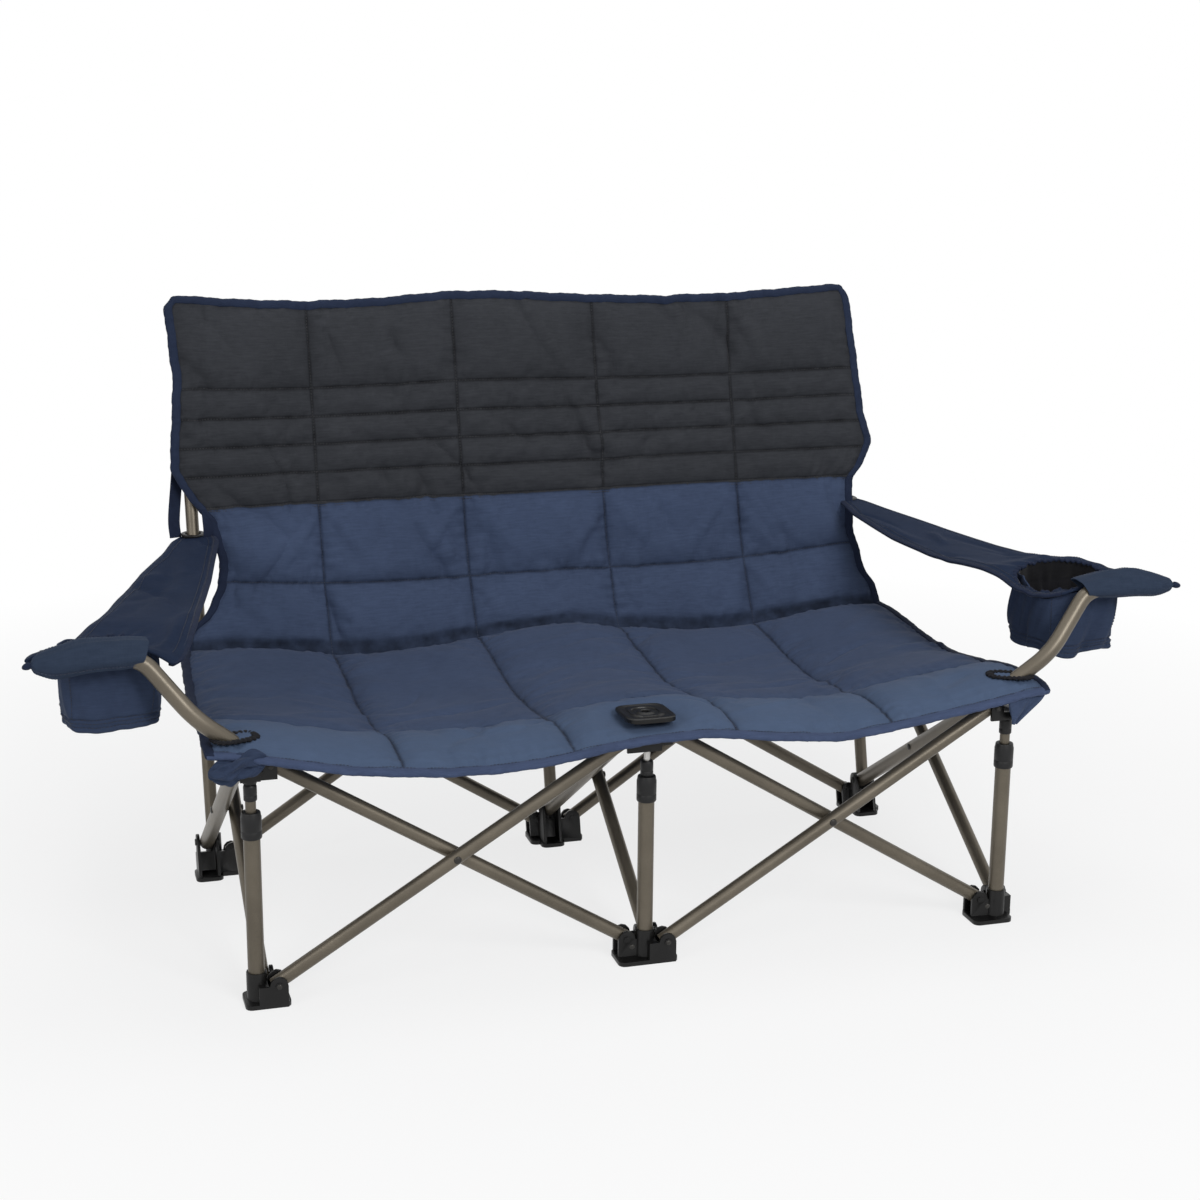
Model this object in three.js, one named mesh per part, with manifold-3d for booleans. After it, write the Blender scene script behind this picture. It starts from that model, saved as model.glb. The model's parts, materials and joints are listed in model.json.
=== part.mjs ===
// Folding camping loveseat: a quilted two-seat sling on a scissor frame of steel tube.
// Millimetres, +Z up, the seat faces -Y. The origin ends up at the middle of the footprint, on the floor.
// The frame is a 2 by 1 grid of scissor bays, so every crossing pair of tubes turns by the same angle.
import * as THREE from 'three';
import { mergeVertices } from 'three/addons/utils/BufferGeometryUtils.js';
import Module from 'manifold-3d';

const wasm = await Module();
wasm.setup();

// Layout of the frame
const bay = 530;                 // spacing of the posts across one seat
const pinReach = 26;             // post axis to hinge pin, in every bracket
const rise = 295;                // foot pin to hub pin, frame open
const crossFootPin = 30;         // height of the front and rear cross tubes' foot pins
const sideFootPin = 26;          // height of the side tubes' front foot pins
const lean = THREE.MathUtils.degToRad(14.5);   // backrest uprights lean back
const uprightLength = 842;       // along the upright, from its foot end

// Tubes: outside diameters and walls
const crossTubeDiameter = 19;
const armTubeDiameter = 22;
const postDiameter = 22;
const middleTubeDiameter = 14;
const rodDiameter = 8.5;
const tubeWall = 1.2;
const pinDiameter = 6;
const rivetDiameter = 5;
const rivetHeadDiameter = 10.5;
const rivetHeadHeight = 2;

// Clearances
const fitGap = 0.3;              // between pieces that touch
const pinGap = 0.4;              // round a hinge pin
const tubeGap = 2;               // between two tubes that cross
const earGap = 0.6;              // tube to bracket ear
const bendGap = 1.2;             // bent arm tube to the hub's ears
const mergeTolerance = 1e-4;
const overrun = 1;               // how far a cutter runs past what it cuts

// Straight facets that stand for a round: facets of half a circle, and of one rounded corner
const barSides = 12;
const bentSegments = 5;
const rodSegments = 6;
const headSegments = 4;
const pinSegments = 3;
const earSegments = 3;
const cornerSegments = 2;
const cupSegments = 12;

// Brackets: feet, hubs and sliders
const earThickness = 4.5;
const earRadius = 12;
const hubEarRadius = 9;
const bossWall = 2.2;
const footBossHeight = 44;
const footFloor = 10;            // solid plastic under a post
const baseThickness = 6;
const baseMargin = 4;
const baseCorner = 9;
const tubeEnd = 7;               // tube beyond its end pin
const hubBossRadius = 9;
const hubBlockHalfDepth = 8;
const hubBlockHalfWidth = 13;
const hubBlockBottom = 19;       // block underside below the hub's cross pins
const hubBlockTop = 7;           // block top below the hub's cross pins
const hubWebTop = 10;            // web under the arm tube, below the hub's cross pins
const hubBossDrop = 3.5;         // boss below the block
const rodSocket = 9;
const sliderHalfHeight = 14;
const sliderBore = 0.5;          // slider to upright

// Telescoping front posts
const postTop = 262;
const collarHeight = 35;
const collarWall = 2.5;
const collarCap = 2.2;           // collar above the post
const middleTubeLength = 205;
const middleCollarHeight = 21;
const middleCollarWall = 1.75;
const middleCollarCap = 1.5;
// Small collar above the post collar, as a share of its own height
const middleRaiseShares = { left: 0.762, centre: 0.038, right: 0.714 };
const rodLength = 246;

// Arm supports. The corners of the arm tube beyond its hub pin are shares of armReach: out from the post, back and
// up from the hub pin. Each leg is the share from a corner to the start of its bend.
const armReach = 258;            // post to the outer end of the arm tube
const armBendStart = 16;         // straight run from the hub pin to the first corner
const armCornerShares = [
  { out: 0.0543, back: -0.0659, up: 0.1202 },
  { out: 0.2481, back: -0.1008, up: 0.2752 },
  { out: 0.4961, back: -0.0116, up: 0.5891 },
  { out: 1, back: -0.0465, up: 0.593 },
];
const armBendShares = [0.0504, 0.0465, 0.0853, 0.0775];
const bendSteps = 3;

// Sling
const seatFrontReach = 50;       // seat edge in front of the posts
const seatRearEdge = 497;        // seat to backrest seam behind the front posts
const seatOverhangFront = 56;    // beyond the outer posts
const seatOverhangRear = 36;
const seatFrontClearance = 10;   // above the side tubes' hub pins
const seatRearClearance = 4;
const seatDip = 24;              // how far the seat sags between front and back
const seatSag = 12;              // sag of the seat between the posts, up and down
const seatCornerRise = 9;
const seatEdgeDroop = 8;
const seamSpacing = 226;         // quilting columns
const clothThickness = 4;        // at a seam
const padThickness = 9;          // at the middle of a quilted channel
const backTopMargin = 12.5;      // cloth above the uprights' tops
const backGap = 14.3;            // backrest middle surface in front of the uprights' axes
const backForward = 42;          // how far the backrest's foot comes forward
const backForwardFade = 60;
const backOverhang = 22;         // beyond the outer posts, above the border
const backWaistInset = 38;       // inside the outer posts, below it
const backWaistHeight = 455;
const borderHeight = 533;        // charcoal above, navy below
const pocketLength = 60;         // sleeve over the top of each upright
const pocketWall = 3;
const seatColumns = 20;
const seatRows = 14;
const backRows = 18;

// Armrests and cup pouches
const armrestTilt = THREE.MathUtils.degToRad(1.7);
const armrestThickness = 5;
const sleeveWall = 2.6;
const sleeveLength = 116;
const cupHoleRadius = 43;
const cupOut = 162;              // cup hole outwards from the post
const cupBack = 84;              // and behind the sleeve
const pouchWidth = 126;
const pouchDepth = 128;
const pouchHeight = 100;
const pouchWall = 3;
const pouchCorner = 16;
const grommetWall = 4;
const grommetHeight = 9;
const grommetGap = 2.4;          // grommet to upright

// Seat plate over the middle hub
const plateWidth = 78;
const plateDepth = 86;
const plateThickness = 5.5;
const plateCorner = 14;
const plateHole = 9;
const plateRing = 26;            // radius of the sunk ring
const plateRecess = 2.5;
const plateSetback = 8;          // plate middle behind the posts

// Worked out from the sizes above
const crossRadius = crossTubeDiameter / 2;
const armRadius = armTubeDiameter / 2;
const postRadius = postDiameter / 2;
const middleRadius = middleTubeDiameter / 2;
const rodRadius = rodDiameter / 2;
const pinRadius = pinDiameter / 2;
const crossOffset = (crossTubeDiameter + tubeGap) / 2;      // crossing tubes lie this far each side of their plane
const span = bay - 2 * pinReach;
const restAngle = Math.atan2(rise, span);
const halfTube = Math.hypot(rise, span) / 2;
const reachSum = rise * Math.cos(lean) / Math.sin(restAngle);
const reachDifference = rise * Math.sin(lean) / Math.cos(restAngle);
const sliderReach = (reachSum + reachDifference) / 2;       // side crossing to rear slider pin
const footReach = (reachSum - reachDifference) / 2;         // side crossing to rear foot pin
const hubPin = crossFootPin + rise;
const sideHubPin = sideFootPin + rise;
const seatHalfWidthFront = bay + seatOverhangFront;
const seatHalfWidthRear = bay + seatOverhangRear;
const seatFrontHeight = sideHubPin + seatFrontClearance;
const seatRearHeight = sideHubPin + seatRearClearance;
const backHalfWidth = bay + backOverhang;
const backWaistHalfWidth = bay - backWaistInset;
const sideGap = tubeGap / 2;                                // side tube to arm tube, less than a crossing pair's
const frontSideX = crossRadius + sideGap / 2;               // side tube beside its post
const rearSideX = -(armRadius + sideGap / 2);               // arm tube beside its post
const centreSideX = -crossOffset;

const up = new THREE.Vector3(0, 0, 1);
const across = new THREE.Vector3(1, 0, 0);
const back = new THREE.Vector3(0, 1, 0);
const leanUp = new THREE.Vector3(0, Math.sin(lean), Math.cos(lean));
const leanBack = new THREE.Vector3(0, Math.cos(lean), -Math.sin(lean));

// Side plane: pins and crossing, with y from the front post and z from the floor
const sideDirection = new THREE.Vector3(0, Math.cos(restAngle), Math.sin(restAngle));
const armDirection = new THREE.Vector3(0, -Math.cos(restAngle), Math.sin(restAngle));
const sideFoot = new THREE.Vector3(0, pinReach, sideFootPin);
const sideHub = new THREE.Vector3(0, pinReach, sideHubPin);
const sideCrossing = sideFoot.clone().addScaledVector(sideDirection, halfTube);
const sideSlider = sideCrossing.clone().addScaledVector(sideDirection, sliderReach);
const sideRearFoot = sideCrossing.clone().addScaledVector(armDirection, -footReach);
const besideRearPin = sideRearFoot.clone().addScaledVector(leanBack, pinReach);
const rearPinRise = (besideRearPin.z - crossFootPin) / leanUp.z;
const rearBase = besideRearPin.clone().addScaledVector(leanUp, -rearPinRise);   // upright axis at the cross pins

// Foot end of the upright from rearBase, its top end and the backrest's top edge
const uprightRun = (footFloor + fitGap - rearBase.z) / leanUp.z;
const uprightTop = rearBase.clone().addScaledVector(leanUp, uprightRun + uprightLength);
const backTop = uprightTop.z + backTopMargin;

// Materials
const finish = (color, roughness, metalness) => new THREE.MeshStandardMaterial({ color, roughness, metalness });
const bronzeSteel = () => finish(0x6b6355, 0.42, 0.65);
const blackPlastic = () => finish(0x141415, 0.5, 0);
const collarPlastic = () => finish(0x2e2e31, 0.55, 0);
const brightRivet = () => finish(0xb9b8b4, 0.3, 0.9);
const navyCloth = () => finish(0x2f3b58, 0.85, 0);
const charcoalCloth = () => finish(0x35373b, 0.85, 0);

const loveseat = new THREE.Group();

// A closed geometry becomes a solid that can be cut and joined
function solid(geometry) {
  const bare = geometry.clone();
  bare.deleteAttribute('normal');
  bare.deleteAttribute('uv');
  const merged = mergeVertices(bare, mergeTolerance);
  return new wasm.Manifold(new wasm.Mesh({
    numProp: 3,
    vertProperties: new Float32Array(merged.attributes.position.array),
    triVerts: new Uint32Array(merged.index.array),
  }));
}

function surface(body) {
  const mesh = body.getMesh();
  const geometry = new THREE.BufferGeometry();
  geometry.setAttribute('position', new THREE.BufferAttribute(mesh.vertProperties, mesh.numProp));
  geometry.setIndex(new THREE.BufferAttribute(mesh.triVerts, 1));
  return geometry;
}

function join(solids) {
  return solids.reduce((whole, next) => whole.add(next));
}

function cut(body, cutters) {
  return cutters.reduce((whole, next) => whole.subtract(next), body);
}

// Places a geometry in a frame given by an origin and three directions
function framed(geometry, origin, xAxis, yAxis, zAxis) {
  const matrix = new THREE.Matrix4().makeBasis(xAxis, yAxis, zAxis).setPosition(origin);
  return geometry.clone().applyMatrix4(matrix);
}

function addMesh(parent, name, geometry, material, position = new THREE.Vector3()) {
  const mesh = new THREE.Mesh(geometry, material);
  mesh.name = name;
  mesh.position.copy(position);
  parent.add(mesh);
  return mesh;
}

function ringShape(outer, inner) {
  const shape = new THREE.Shape();
  shape.absarc(0, 0, outer, 0, 2 * Math.PI, false);
  if (inner > 0) {
    const hole = new THREE.Path();
    hole.absarc(0, 0, inner, 0, 2 * Math.PI, true);
    shape.holes.push(hole);
  }
  return shape;
}

function extruded(shape, depth, curveSegments = barSides / 2) {
  return new THREE.ExtrudeGeometry(shape, { depth, bevelEnabled: false, curveSegments });
}

// A round bar from one point to another, with a bore if inner is over zero
function bar(from, to, outer, inner = 0, curveSegments = barSides / 2) {
  const along = to.clone().sub(from);
  const zAxis = along.clone().normalize();
  const helper = Math.abs(zAxis.z) < Math.SQRT1_2 ? up : across;
  const xAxis = new THREE.Vector3().crossVectors(helper, zAxis).normalize();
  const yAxis = new THREE.Vector3().crossVectors(zAxis, xAxis);
  return framed(extruded(ringShape(outer, inner), along.length(), curveSegments), from, xAxis, yAxis, zAxis);
}

function roundedPlate(xLow, xHigh, yLow, yHigh, corner, depth) {
  const shape = new THREE.Shape();
  shape.moveTo(xLow + corner, yLow);
  shape.lineTo(xHigh - corner, yLow);
  shape.absarc(xHigh - corner, yLow + corner, corner, -Math.PI / 2, 0, false);
  shape.lineTo(xHigh, yHigh - corner);
  shape.absarc(xHigh - corner, yHigh - corner, corner, 0, Math.PI / 2, false);
  shape.lineTo(xLow + corner, yHigh);
  shape.absarc(xLow + corner, yHigh - corner, corner, Math.PI / 2, Math.PI, false);
  shape.lineTo(xLow, yLow + corner);
  shape.absarc(xLow + corner, yLow + corner, corner, Math.PI, 3 * Math.PI / 2, false);
  return extruded(shape, depth, cornerSegments);
}

function box(xLow, xHigh, yLow, yHigh, zLow, zHigh) {
  const geometry = new THREE.BoxGeometry(xHigh - xLow, yHigh - yLow, zHigh - zLow);
  return geometry.translate((xLow + xHigh) / 2, (yLow + yHigh) / 2, (zLow + zHigh) / 2);
}

// A straight steel tube between two end pins, drilled for pins along hingeAxis at the distances given
function drilledTube(startPin, endPin, hingeAxis, radius, drillings) {
  const zAxis = endPin.clone().sub(startPin).normalize();
  const xAxis = new THREE.Vector3().crossVectors(hingeAxis, zAxis);
  const low = startPin.clone().addScaledVector(zAxis, -tubeEnd);
  const high = endPin.clone().addScaledVector(zAxis, tubeEnd);
  const length = high.distanceTo(low);
  const tube = framed(extruded(ringShape(radius, radius - tubeWall), length), low, xAxis, hingeAxis, zAxis);
  return cut(solid(tube), drillings.map((distance) => drilling(
    startPin.clone().addScaledVector(zAxis, distance), hingeAxis, radius)));
}

function drilling(point, hingeAxis, tubeRadius) {
  const reach = tubeRadius + overrun;
  return solid(bar(
    point.clone().addScaledVector(hingeAxis, -reach),
    point.clone().addScaledVector(hingeAxis, reach),
    pinRadius + pinGap, 0, headSegments));
}

// Two ears and a headed pin that hold one tube's end. outward points from the post to the pin, axial up the
// post; offset is the tube's distance from the post's plane along the pin.
function clevis({
  origin, outward, axial, pinHeight, offset, tubeRadius, radius, floor, neckTop,
  sideGap = earGap, through = true, web = true,
}) {
  const pinAxis = new THREE.Vector3().crossVectors(axial, outward);
  const outline = new THREE.Shape();
  outline.moveTo(0, floor);
  outline.lineTo(pinReach, Math.min(floor, pinHeight - radius));
  if (floor < pinHeight - radius) {
    outline.lineTo(pinReach + radius, floor);
    outline.lineTo(pinReach + radius, pinHeight);
    outline.absarc(pinReach, pinHeight, radius, 0, Math.PI, false);
  } else {
    outline.absarc(pinReach, pinHeight, radius, -Math.PI / 2, Math.PI, false);
  }
  outline.lineTo(pinReach - radius, neckTop);
  outline.lineTo(0, neckTop);
  const ear = extruded(outline, earThickness, earSegments);
  const inner = tubeRadius + sideGap;
  const place = (farFace) => solid(framed(ear, origin.clone().addScaledVector(pinAxis, farFace),
    outward, axial, pinAxis.clone().negate()));
  const centre = origin.clone().addScaledVector(outward, pinReach).addScaledVector(axial, pinHeight);
  const reach = inner + earThickness;
  const point = (distance) => centre.clone().addScaledVector(pinAxis, offset + distance);
  const head = rivetHeadDiameter / 2;
  const parts = [
    place(offset + reach),
    place(offset - inner),
    solid(bar(point(reach - fitGap), point(reach + rivetHeadHeight), head, 0, headSegments)),
    solid(bar(point(-reach - rivetHeadHeight), point(-reach + fitGap), head, 0, headSegments)),
  ];
  if (through) {
    const pinHalf = reach + rivetHeadHeight / 2;
    parts.push(solid(bar(point(-pinHalf), point(pinHalf), pinRadius, 0, pinSegments)));
  }
  if (web) {
    const webReach = pinReach - Math.hypot(tubeEnd, tubeRadius) - bendGap;
    const low = Math.max(floor, -2 * pinReach);
    parts.push(solid(framed(box(0, webReach, low, neckTop, -offset - reach, -offset + reach),
      origin, outward, axial, pinAxis.clone().negate())));
  }
  return parts;
}

// Posts and uprights by side
const sides = ['left', 'centre', 'right'];
const sideX = { left: -bay, centre: 0, right: bay };
// Which way each bracket's cross tubes run, and which side of the plane each lies on
const frontFootTubes = {
  left: [{ way: 1, offset: -crossOffset }],
  centre: [{ way: -1, offset: crossOffset }, { way: 1, offset: -crossOffset }],
  right: [{ way: -1, offset: crossOffset }],
};
const frontHubTubes = {
  left: [{ way: 1, offset: crossOffset }],
  centre: [{ way: -1, offset: -crossOffset }, { way: 1, offset: crossOffset }],
  right: [{ way: -1, offset: -crossOffset }],
};
const armTube = {
  left: { radius: armRadius, x: rearSideX },
  centre: { radius: crossRadius, x: centreSideX },
  right: { radius: armRadius, x: rearSideX },
};

function crossClevises(tubes, shared) {
  return tubes.flatMap(({ way, offset }) => {
    const outward = across.clone().multiplyScalar(way);
    const pinAxis = new THREE.Vector3().crossVectors(shared.axial, outward);
    const facing = pinAxis.dot(shared.behind) > 0 ? 1 : -1;
    return clevis({ ...shared, outward, offset: offset * facing, tubeRadius: crossRadius });
  });
}

function sideClevis(shared, outward, x, tubeRadius) {
  const pinAxis = new THREE.Vector3().crossVectors(shared.axial, outward);
  return clevis({ ...shared, outward, offset: x * Math.sign(pinAxis.x), tubeRadius });
}

// Floor plate that carries the ears of a foot
function footPlate(tubes, sideSign, sideTubeX, sideTubeRadius) {
  const halfDepth = crossOffset + crossRadius + earGap + earThickness;
  const reach = pinReach + earRadius + baseMargin;
  const boss = postRadius + fitGap + bossWall + baseMargin;
  const ways = tubes.map(({ way }) => way);
  const xLow = ways.includes(-1) ? -reach : -boss;
  const xHigh = ways.includes(1) ? reach : boss;
  const sideHalf = sideTubeRadius + earGap + earThickness + baseMargin;
  const across = roundedPlate(xLow, xHigh, -halfDepth, halfDepth, baseCorner, baseThickness);
  const near = sideSign > 0 ? 0 : -reach;
  const low = sideTubeX - sideHalf;
  const high = sideTubeX + sideHalf;
  const inward = roundedPlate(low, high, near, near + reach, baseCorner, baseThickness);
  return [solid(across), solid(inward)];
}

function frontFoot(side) {
  const origin = new THREE.Vector3();
  const shared = {
    origin, axial: up, behind: back, pinHeight: crossFootPin, radius: earRadius, floor: 0, neckTop: crossFootPin,
  };
  const bossRadius = postRadius + fitGap + bossWall;
  const height = (z) => new THREE.Vector3(0, 0, z);
  const boss = solid(bar(origin, height(footBossHeight), bossRadius));
  const bore = solid(bar(height(footFloor), height(footBossHeight + overrun), postRadius + fitGap));
  const whole = join([
    ...footPlate(frontFootTubes[side], 1, frontSideX, crossRadius),
    boss,
    ...crossClevises(frontFootTubes[side], shared),
    ...sideClevis({ ...shared, pinHeight: sideFootPin }, back, frontSideX, crossRadius),
  ]);
  return cut(whole, [bore]);
}

function frontHub(side) {
  const origin = new THREE.Vector3(0, 0, hubPin);
  const bottom = -hubBlockBottom;
  const top = -hubBlockTop;
  const shared = {
    origin, axial: up, behind: back, pinHeight: 0, radius: hubEarRadius, floor: bottom, neckTop: top, web: false,
  };
  const ears = crossClevises(frontHubTubes[side], shared);
  const { radius, x } = armTube[side];
  const sideShared = { ...shared, pinHeight: sideHubPin - hubPin, sideGap: bendGap, neckTop: top - overrun };
  const sideEars = sideClevis(sideShared, back, x, radius);
  const webLow = x - radius - bendGap - earThickness;
  const webDepth = pinReach - armRadius - 2 * bendGap;
  const depth = crossOffset + crossRadius + earGap + earThickness;
  const frontDepth = frontHubTubes[side].some(({ offset }) => offset < 0) ? -depth : -hubBlockHalfDepth;
  const block = (xLow, xHigh, yLow, yHigh, zHigh = top) => solid(
    box(xLow, xHigh, yLow, yHigh, bottom, zHigh).translate(0, 0, hubPin));
  const bossLow = new THREE.Vector3(0, 0, hubPin + bottom - hubBossDrop);
  const socketLow = bossLow.clone().setZ(bossLow.z - overrun);
  const socketHigh = bossLow.clone().setZ(bossLow.z + rodSocket);
  const webs = frontHubTubes[side].filter(({ offset }) => offset > 0).map(({ way }) => block(
    Math.min(0, way * hubBlockHalfWidth), Math.max(0, way * hubBlockHalfWidth), 0, depth));
  const whole = join([
    block(-hubBlockHalfWidth, hubBlockHalfWidth, -hubBlockHalfDepth, hubBlockHalfDepth),
    block(-hubBlockHalfWidth, hubBlockHalfWidth, frontDepth, 0),
    block(webLow, 0, earGap, webDepth, -hubWebTop),
    solid(bar(bossLow, bossLow.clone().setZ(hubPin + top), hubBossRadius)),
    ...ears,
    ...sideEars,
    ...webs,
  ]);
  return cut(whole, [solid(bar(socketLow, socketHigh, rodRadius + fitGap))]);
}

// Rear brackets are drawn about the leaning upright: z runs up it, y square behind it
function rearFoot(side) {
  const origin = rearBase.clone();
  const groundDrop = -origin.z / leanUp.z;
  const bossRadius = crossRadius + fitGap + bossWall;
  const bossLow = origin.clone().addScaledVector(leanUp, groundDrop - bossRadius);
  const bossHigh = origin.clone().addScaledVector(leanUp, footBossHeight - crossFootPin + earRadius);
  const boss = solid(bar(bossLow, bossHigh, bossRadius));
  const boreLow = origin.clone().addScaledVector(leanUp, groundDrop + footFloor);
  const bore = solid(bar(boreLow, bossHigh.clone().addScaledVector(leanUp, overrun), crossRadius + fitGap));
  const shared = {
    origin, axial: leanUp, behind: leanBack, pinHeight: 0, radius: earRadius, floor: groundDrop - pinReach,
    neckTop: 0,
  };
  const tubes = rearFootTubes[side];
  const { radius, x } = armTube[side];
  const forward = leanBack.clone().negate();
  const groundY = origin.y - origin.z * Math.tan(lean);
  const plates = footPlate(tubes, -1, x, radius).map((plate) => plate.translate([0, groundY, 0]));
  const whole = join([
    ...plates,
    boss,
    ...crossClevises(tubes, shared),
    ...sideClevis({ ...shared, pinHeight: rearPinRise }, forward, x, radius),
  ]);
  const below = solid(box(-bay, bay, -bay, 2 * bay, -bay, 0));
  return cut(whole, [bore, below]);
}

function rearSlider(side) {
  const origin = rearBase.clone().addScaledVector(leanUp, rise);
  const bossRadius = crossRadius + sliderBore + bossWall;
  const low = origin.clone().addScaledVector(leanUp, -sliderHalfHeight);
  const high = origin.clone().addScaledVector(leanUp, rearPinRise + hubEarRadius);
  const boss = solid(bar(low, high, bossRadius));
  const boreLow = low.clone().addScaledVector(leanUp, -overrun);
  const boreHigh = high.clone().addScaledVector(leanUp, overrun);
  const bore = solid(bar(boreLow, boreHigh, crossRadius + sliderBore));
  const shared = {
    origin, axial: leanUp, behind: leanBack, pinHeight: 0, radius: hubEarRadius, floor: -hubEarRadius, neckTop: 0,
  };
  const forward = leanBack.clone().negate();
  const ears = crossClevises(rearHubTubes[side], shared);
  const fork = sliderFork(origin, forward);
  return cut(join([boss, ...ears, ...fork]), [bore]);
}

// Open fork that the side tube's end stands in: two ears without a through pin
function sliderFork(origin, forward) {
  const pinAxis = new THREE.Vector3().crossVectors(leanUp, forward);
  const sign = Math.sign(pinAxis.x);
  return clevis({
    origin, outward: forward, axial: leanUp, pinHeight: rearPinRise, radius: hubEarRadius, floor: 0,
    neckTop: rearPinRise, offset: frontSideX * sign, tubeRadius: crossRadius, through: false,
  });
}

const rearFootTubes = frontFootTubes;
const rearHubTubes = frontHubTubes;

// Post, middle tube, rod and collars of one front leg, about its axis
function telescope(side, group) {
  const axisBar = (low, high, outer, inner, segments) => bar(
    new THREE.Vector3(0, 0, low), new THREE.Vector3(0, 0, high), outer, inner, segments);
  const post = axisBar(footFloor + fitGap, postTop, postRadius, postRadius - tubeWall);
  addMesh(group, `front_post_${side}`, post, bronzeSteel());
  const collar = cut(
    solid(axisBar(postTop + collarCap - collarHeight, postTop + collarCap, postRadius + collarWall)),
    [
      solid(axisBar(postTop - collarHeight, postTop + fitGap, postRadius + fitGap)),
      solid(axisBar(postTop, postTop + collarHeight, middleRadius + fitGap)),
    ]);
  addMesh(group, `post_collar_${side}`, surface(collar), collarPlastic());
  const collarLow = postTop + collarCap + middleRaiseShares[side] * middleCollarHeight;
  const collarTop = collarLow + middleCollarHeight;
  const tubeTop = collarTop - middleCollarCap;
  const middleHigh = tubeTop - fitGap;
  const middleTube = axisBar(middleHigh - middleTubeLength, middleHigh, middleRadius, middleRadius - tubeWall);
  addMesh(group, `middle_tube_${side}`, middleTube, bronzeSteel());
  const small = cut(
    solid(axisBar(collarLow, collarTop, middleRadius + middleCollarWall)),
    [
      solid(axisBar(collarLow - overrun, tubeTop, middleRadius + fitGap)),
      solid(axisBar(collarLow, collarTop + overrun, rodRadius + fitGap)),
    ]);
  addMesh(group, `middle_collar_${side}`, surface(small), collarPlastic());
  const rodTop = hubPin - hubBlockBottom - hubBossDrop + rodSocket - fitGap;
  addMesh(group, `hub_rod_${side}`, axisBar(rodTop - rodLength, rodTop, rodRadius, 0, rodSegments), brightRivet());
}

// A rivet with two heads along an axis, through both tubes of a crossing
function rivet(centre, axis, low, high) {
  const point = (distance) => centre.clone().addScaledVector(axis, distance);
  const shank = rivetHeadHeight / 2;
  const farFace = high + fitGap;
  const nearFace = low - fitGap;
  const head = rivetHeadDiameter / 2;
  return surface(join([
    solid(bar(point(low - shank), point(high + shank), rivetDiameter / 2, 0, pinSegments)),
    solid(bar(point(farFace), point(farFace + rivetHeadHeight), head, 0, headSegments)),
    solid(bar(point(nearFace - rivetHeadHeight), point(nearFace), head, 0, headSegments)),
  ]));
}

// Two crossing pairs of tubes across the width, in a plane given by its up and back directions
function crossPlane(prefix, base, planeUp, planeBack, group) {
  const hingeAxis = planeBack;
  const footOf = (side, way, offset) => base.clone()
    .setX(sideX[side] + way * pinReach)
    .addScaledVector(planeBack, offset);
  const hubOf = (side, way, offset) => footOf(side, way, offset).addScaledVector(planeUp, rise);
  const tubes = [
    { name: 'left_outer', from: footOf('left', 1, -crossOffset), to: hubOf('centre', -1, -crossOffset) },
    { name: 'left_inner', from: footOf('centre', -1, crossOffset), to: hubOf('left', 1, crossOffset) },
    { name: 'right_inner', from: footOf('centre', 1, -crossOffset), to: hubOf('right', -1, -crossOffset) },
    { name: 'right_outer', from: footOf('right', -1, crossOffset), to: hubOf('centre', 1, crossOffset) },
  ];
  for (const { name, from, to } of tubes) {
    const tube = drilledTube(from, to, hingeAxis, crossRadius, [0, halfTube, 2 * halfTube]);
    addMesh(group, `${prefix}_cross_${name}`, surface(tube), bronzeSteel());
  }
  for (const [side, x] of [['left', -bay / 2], ['right', bay / 2]]) {
    const centre = base.clone().setX(x).addScaledVector(planeUp, rise / 2);
    const reach = crossOffset + crossRadius;
    addMesh(group, `${prefix}_rivet_${side}`, rivet(centre, planeBack, -reach, reach), brightRivet());
  }
}

// Arm tube of one side about its own plane, from rear foot to front hub and on, bent up and outwards
function armPath(side, run) {
  const outward = Math.sign(sideX[side]);
  const from = sideRearFoot.clone().addScaledVector(armDirection, run);
  const corner = sideHub.clone().addScaledVector(armDirection, armBendStart);
  const corners = armCornerShares.map((point) => armPoint(outward, point));
  return new BentPath([from, corner, ...corners], armBendShares.map((share) => share * armReach));
}

// A corner of the arm tube, with x from the tube's own plane
function armPoint(outward, { out, back: y, up: z }) {
  const corner = new THREE.Vector3(outward * out, y, z).multiplyScalar(armReach);
  return corner.add(sideHub).add(new THREE.Vector3(-rearSideX, 0, 0));
}

// A path through corners with rounded bends, sampled closely in the bends and not at all along the straights
class BentPath extends THREE.Curve {
  constructor(corners, legs) {
    super();
    this.stations = [];
    this.addStation(corners[0], corners[1].clone().sub(corners[0]));
    legs.forEach((leg, i) => {
      const corner = corners[i + 1];
      const arriving = corner.clone().sub(corners[i]).normalize();
      const leaving = corners[i + 2].clone().sub(corner).normalize();
      const bend = new THREE.QuadraticBezierCurve3(
        corner.clone().addScaledVector(arriving, -leg), corner, corner.clone().addScaledVector(leaving, leg));
      for (let k = 0; k <= bendSteps; k += 1) {
        this.addStation(bend.getPoint(k / bendSteps), bend.getTangent(k / bendSteps));
      }
    });
    const last = corners[corners.length - 1];
    this.addStation(last, last.clone().sub(corners[corners.length - 2]));
  }

  addStation(point, direction) {
    this.stations.push({ point: point.clone(), tangent: direction.clone().normalize() });
  }

  stationAt(share) {
    return this.stations[Math.round(share * (this.stations.length - 1))];
  }

  getPoint(share) {
    return this.stationAt(share).point.clone();
  }

  getPointAt(share) {
    return this.getPoint(share);
  }

  getTangentAt(share) {
    return this.stationAt(share).tangent.clone();
  }
}

function alongPath(path, outer, inner) {
  return new THREE.ExtrudeGeometry(ringShape(outer, inner), {
    steps: path.stations.length - 1, curveSegments: bentSegments, extrudePath: path,
  });
}

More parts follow.
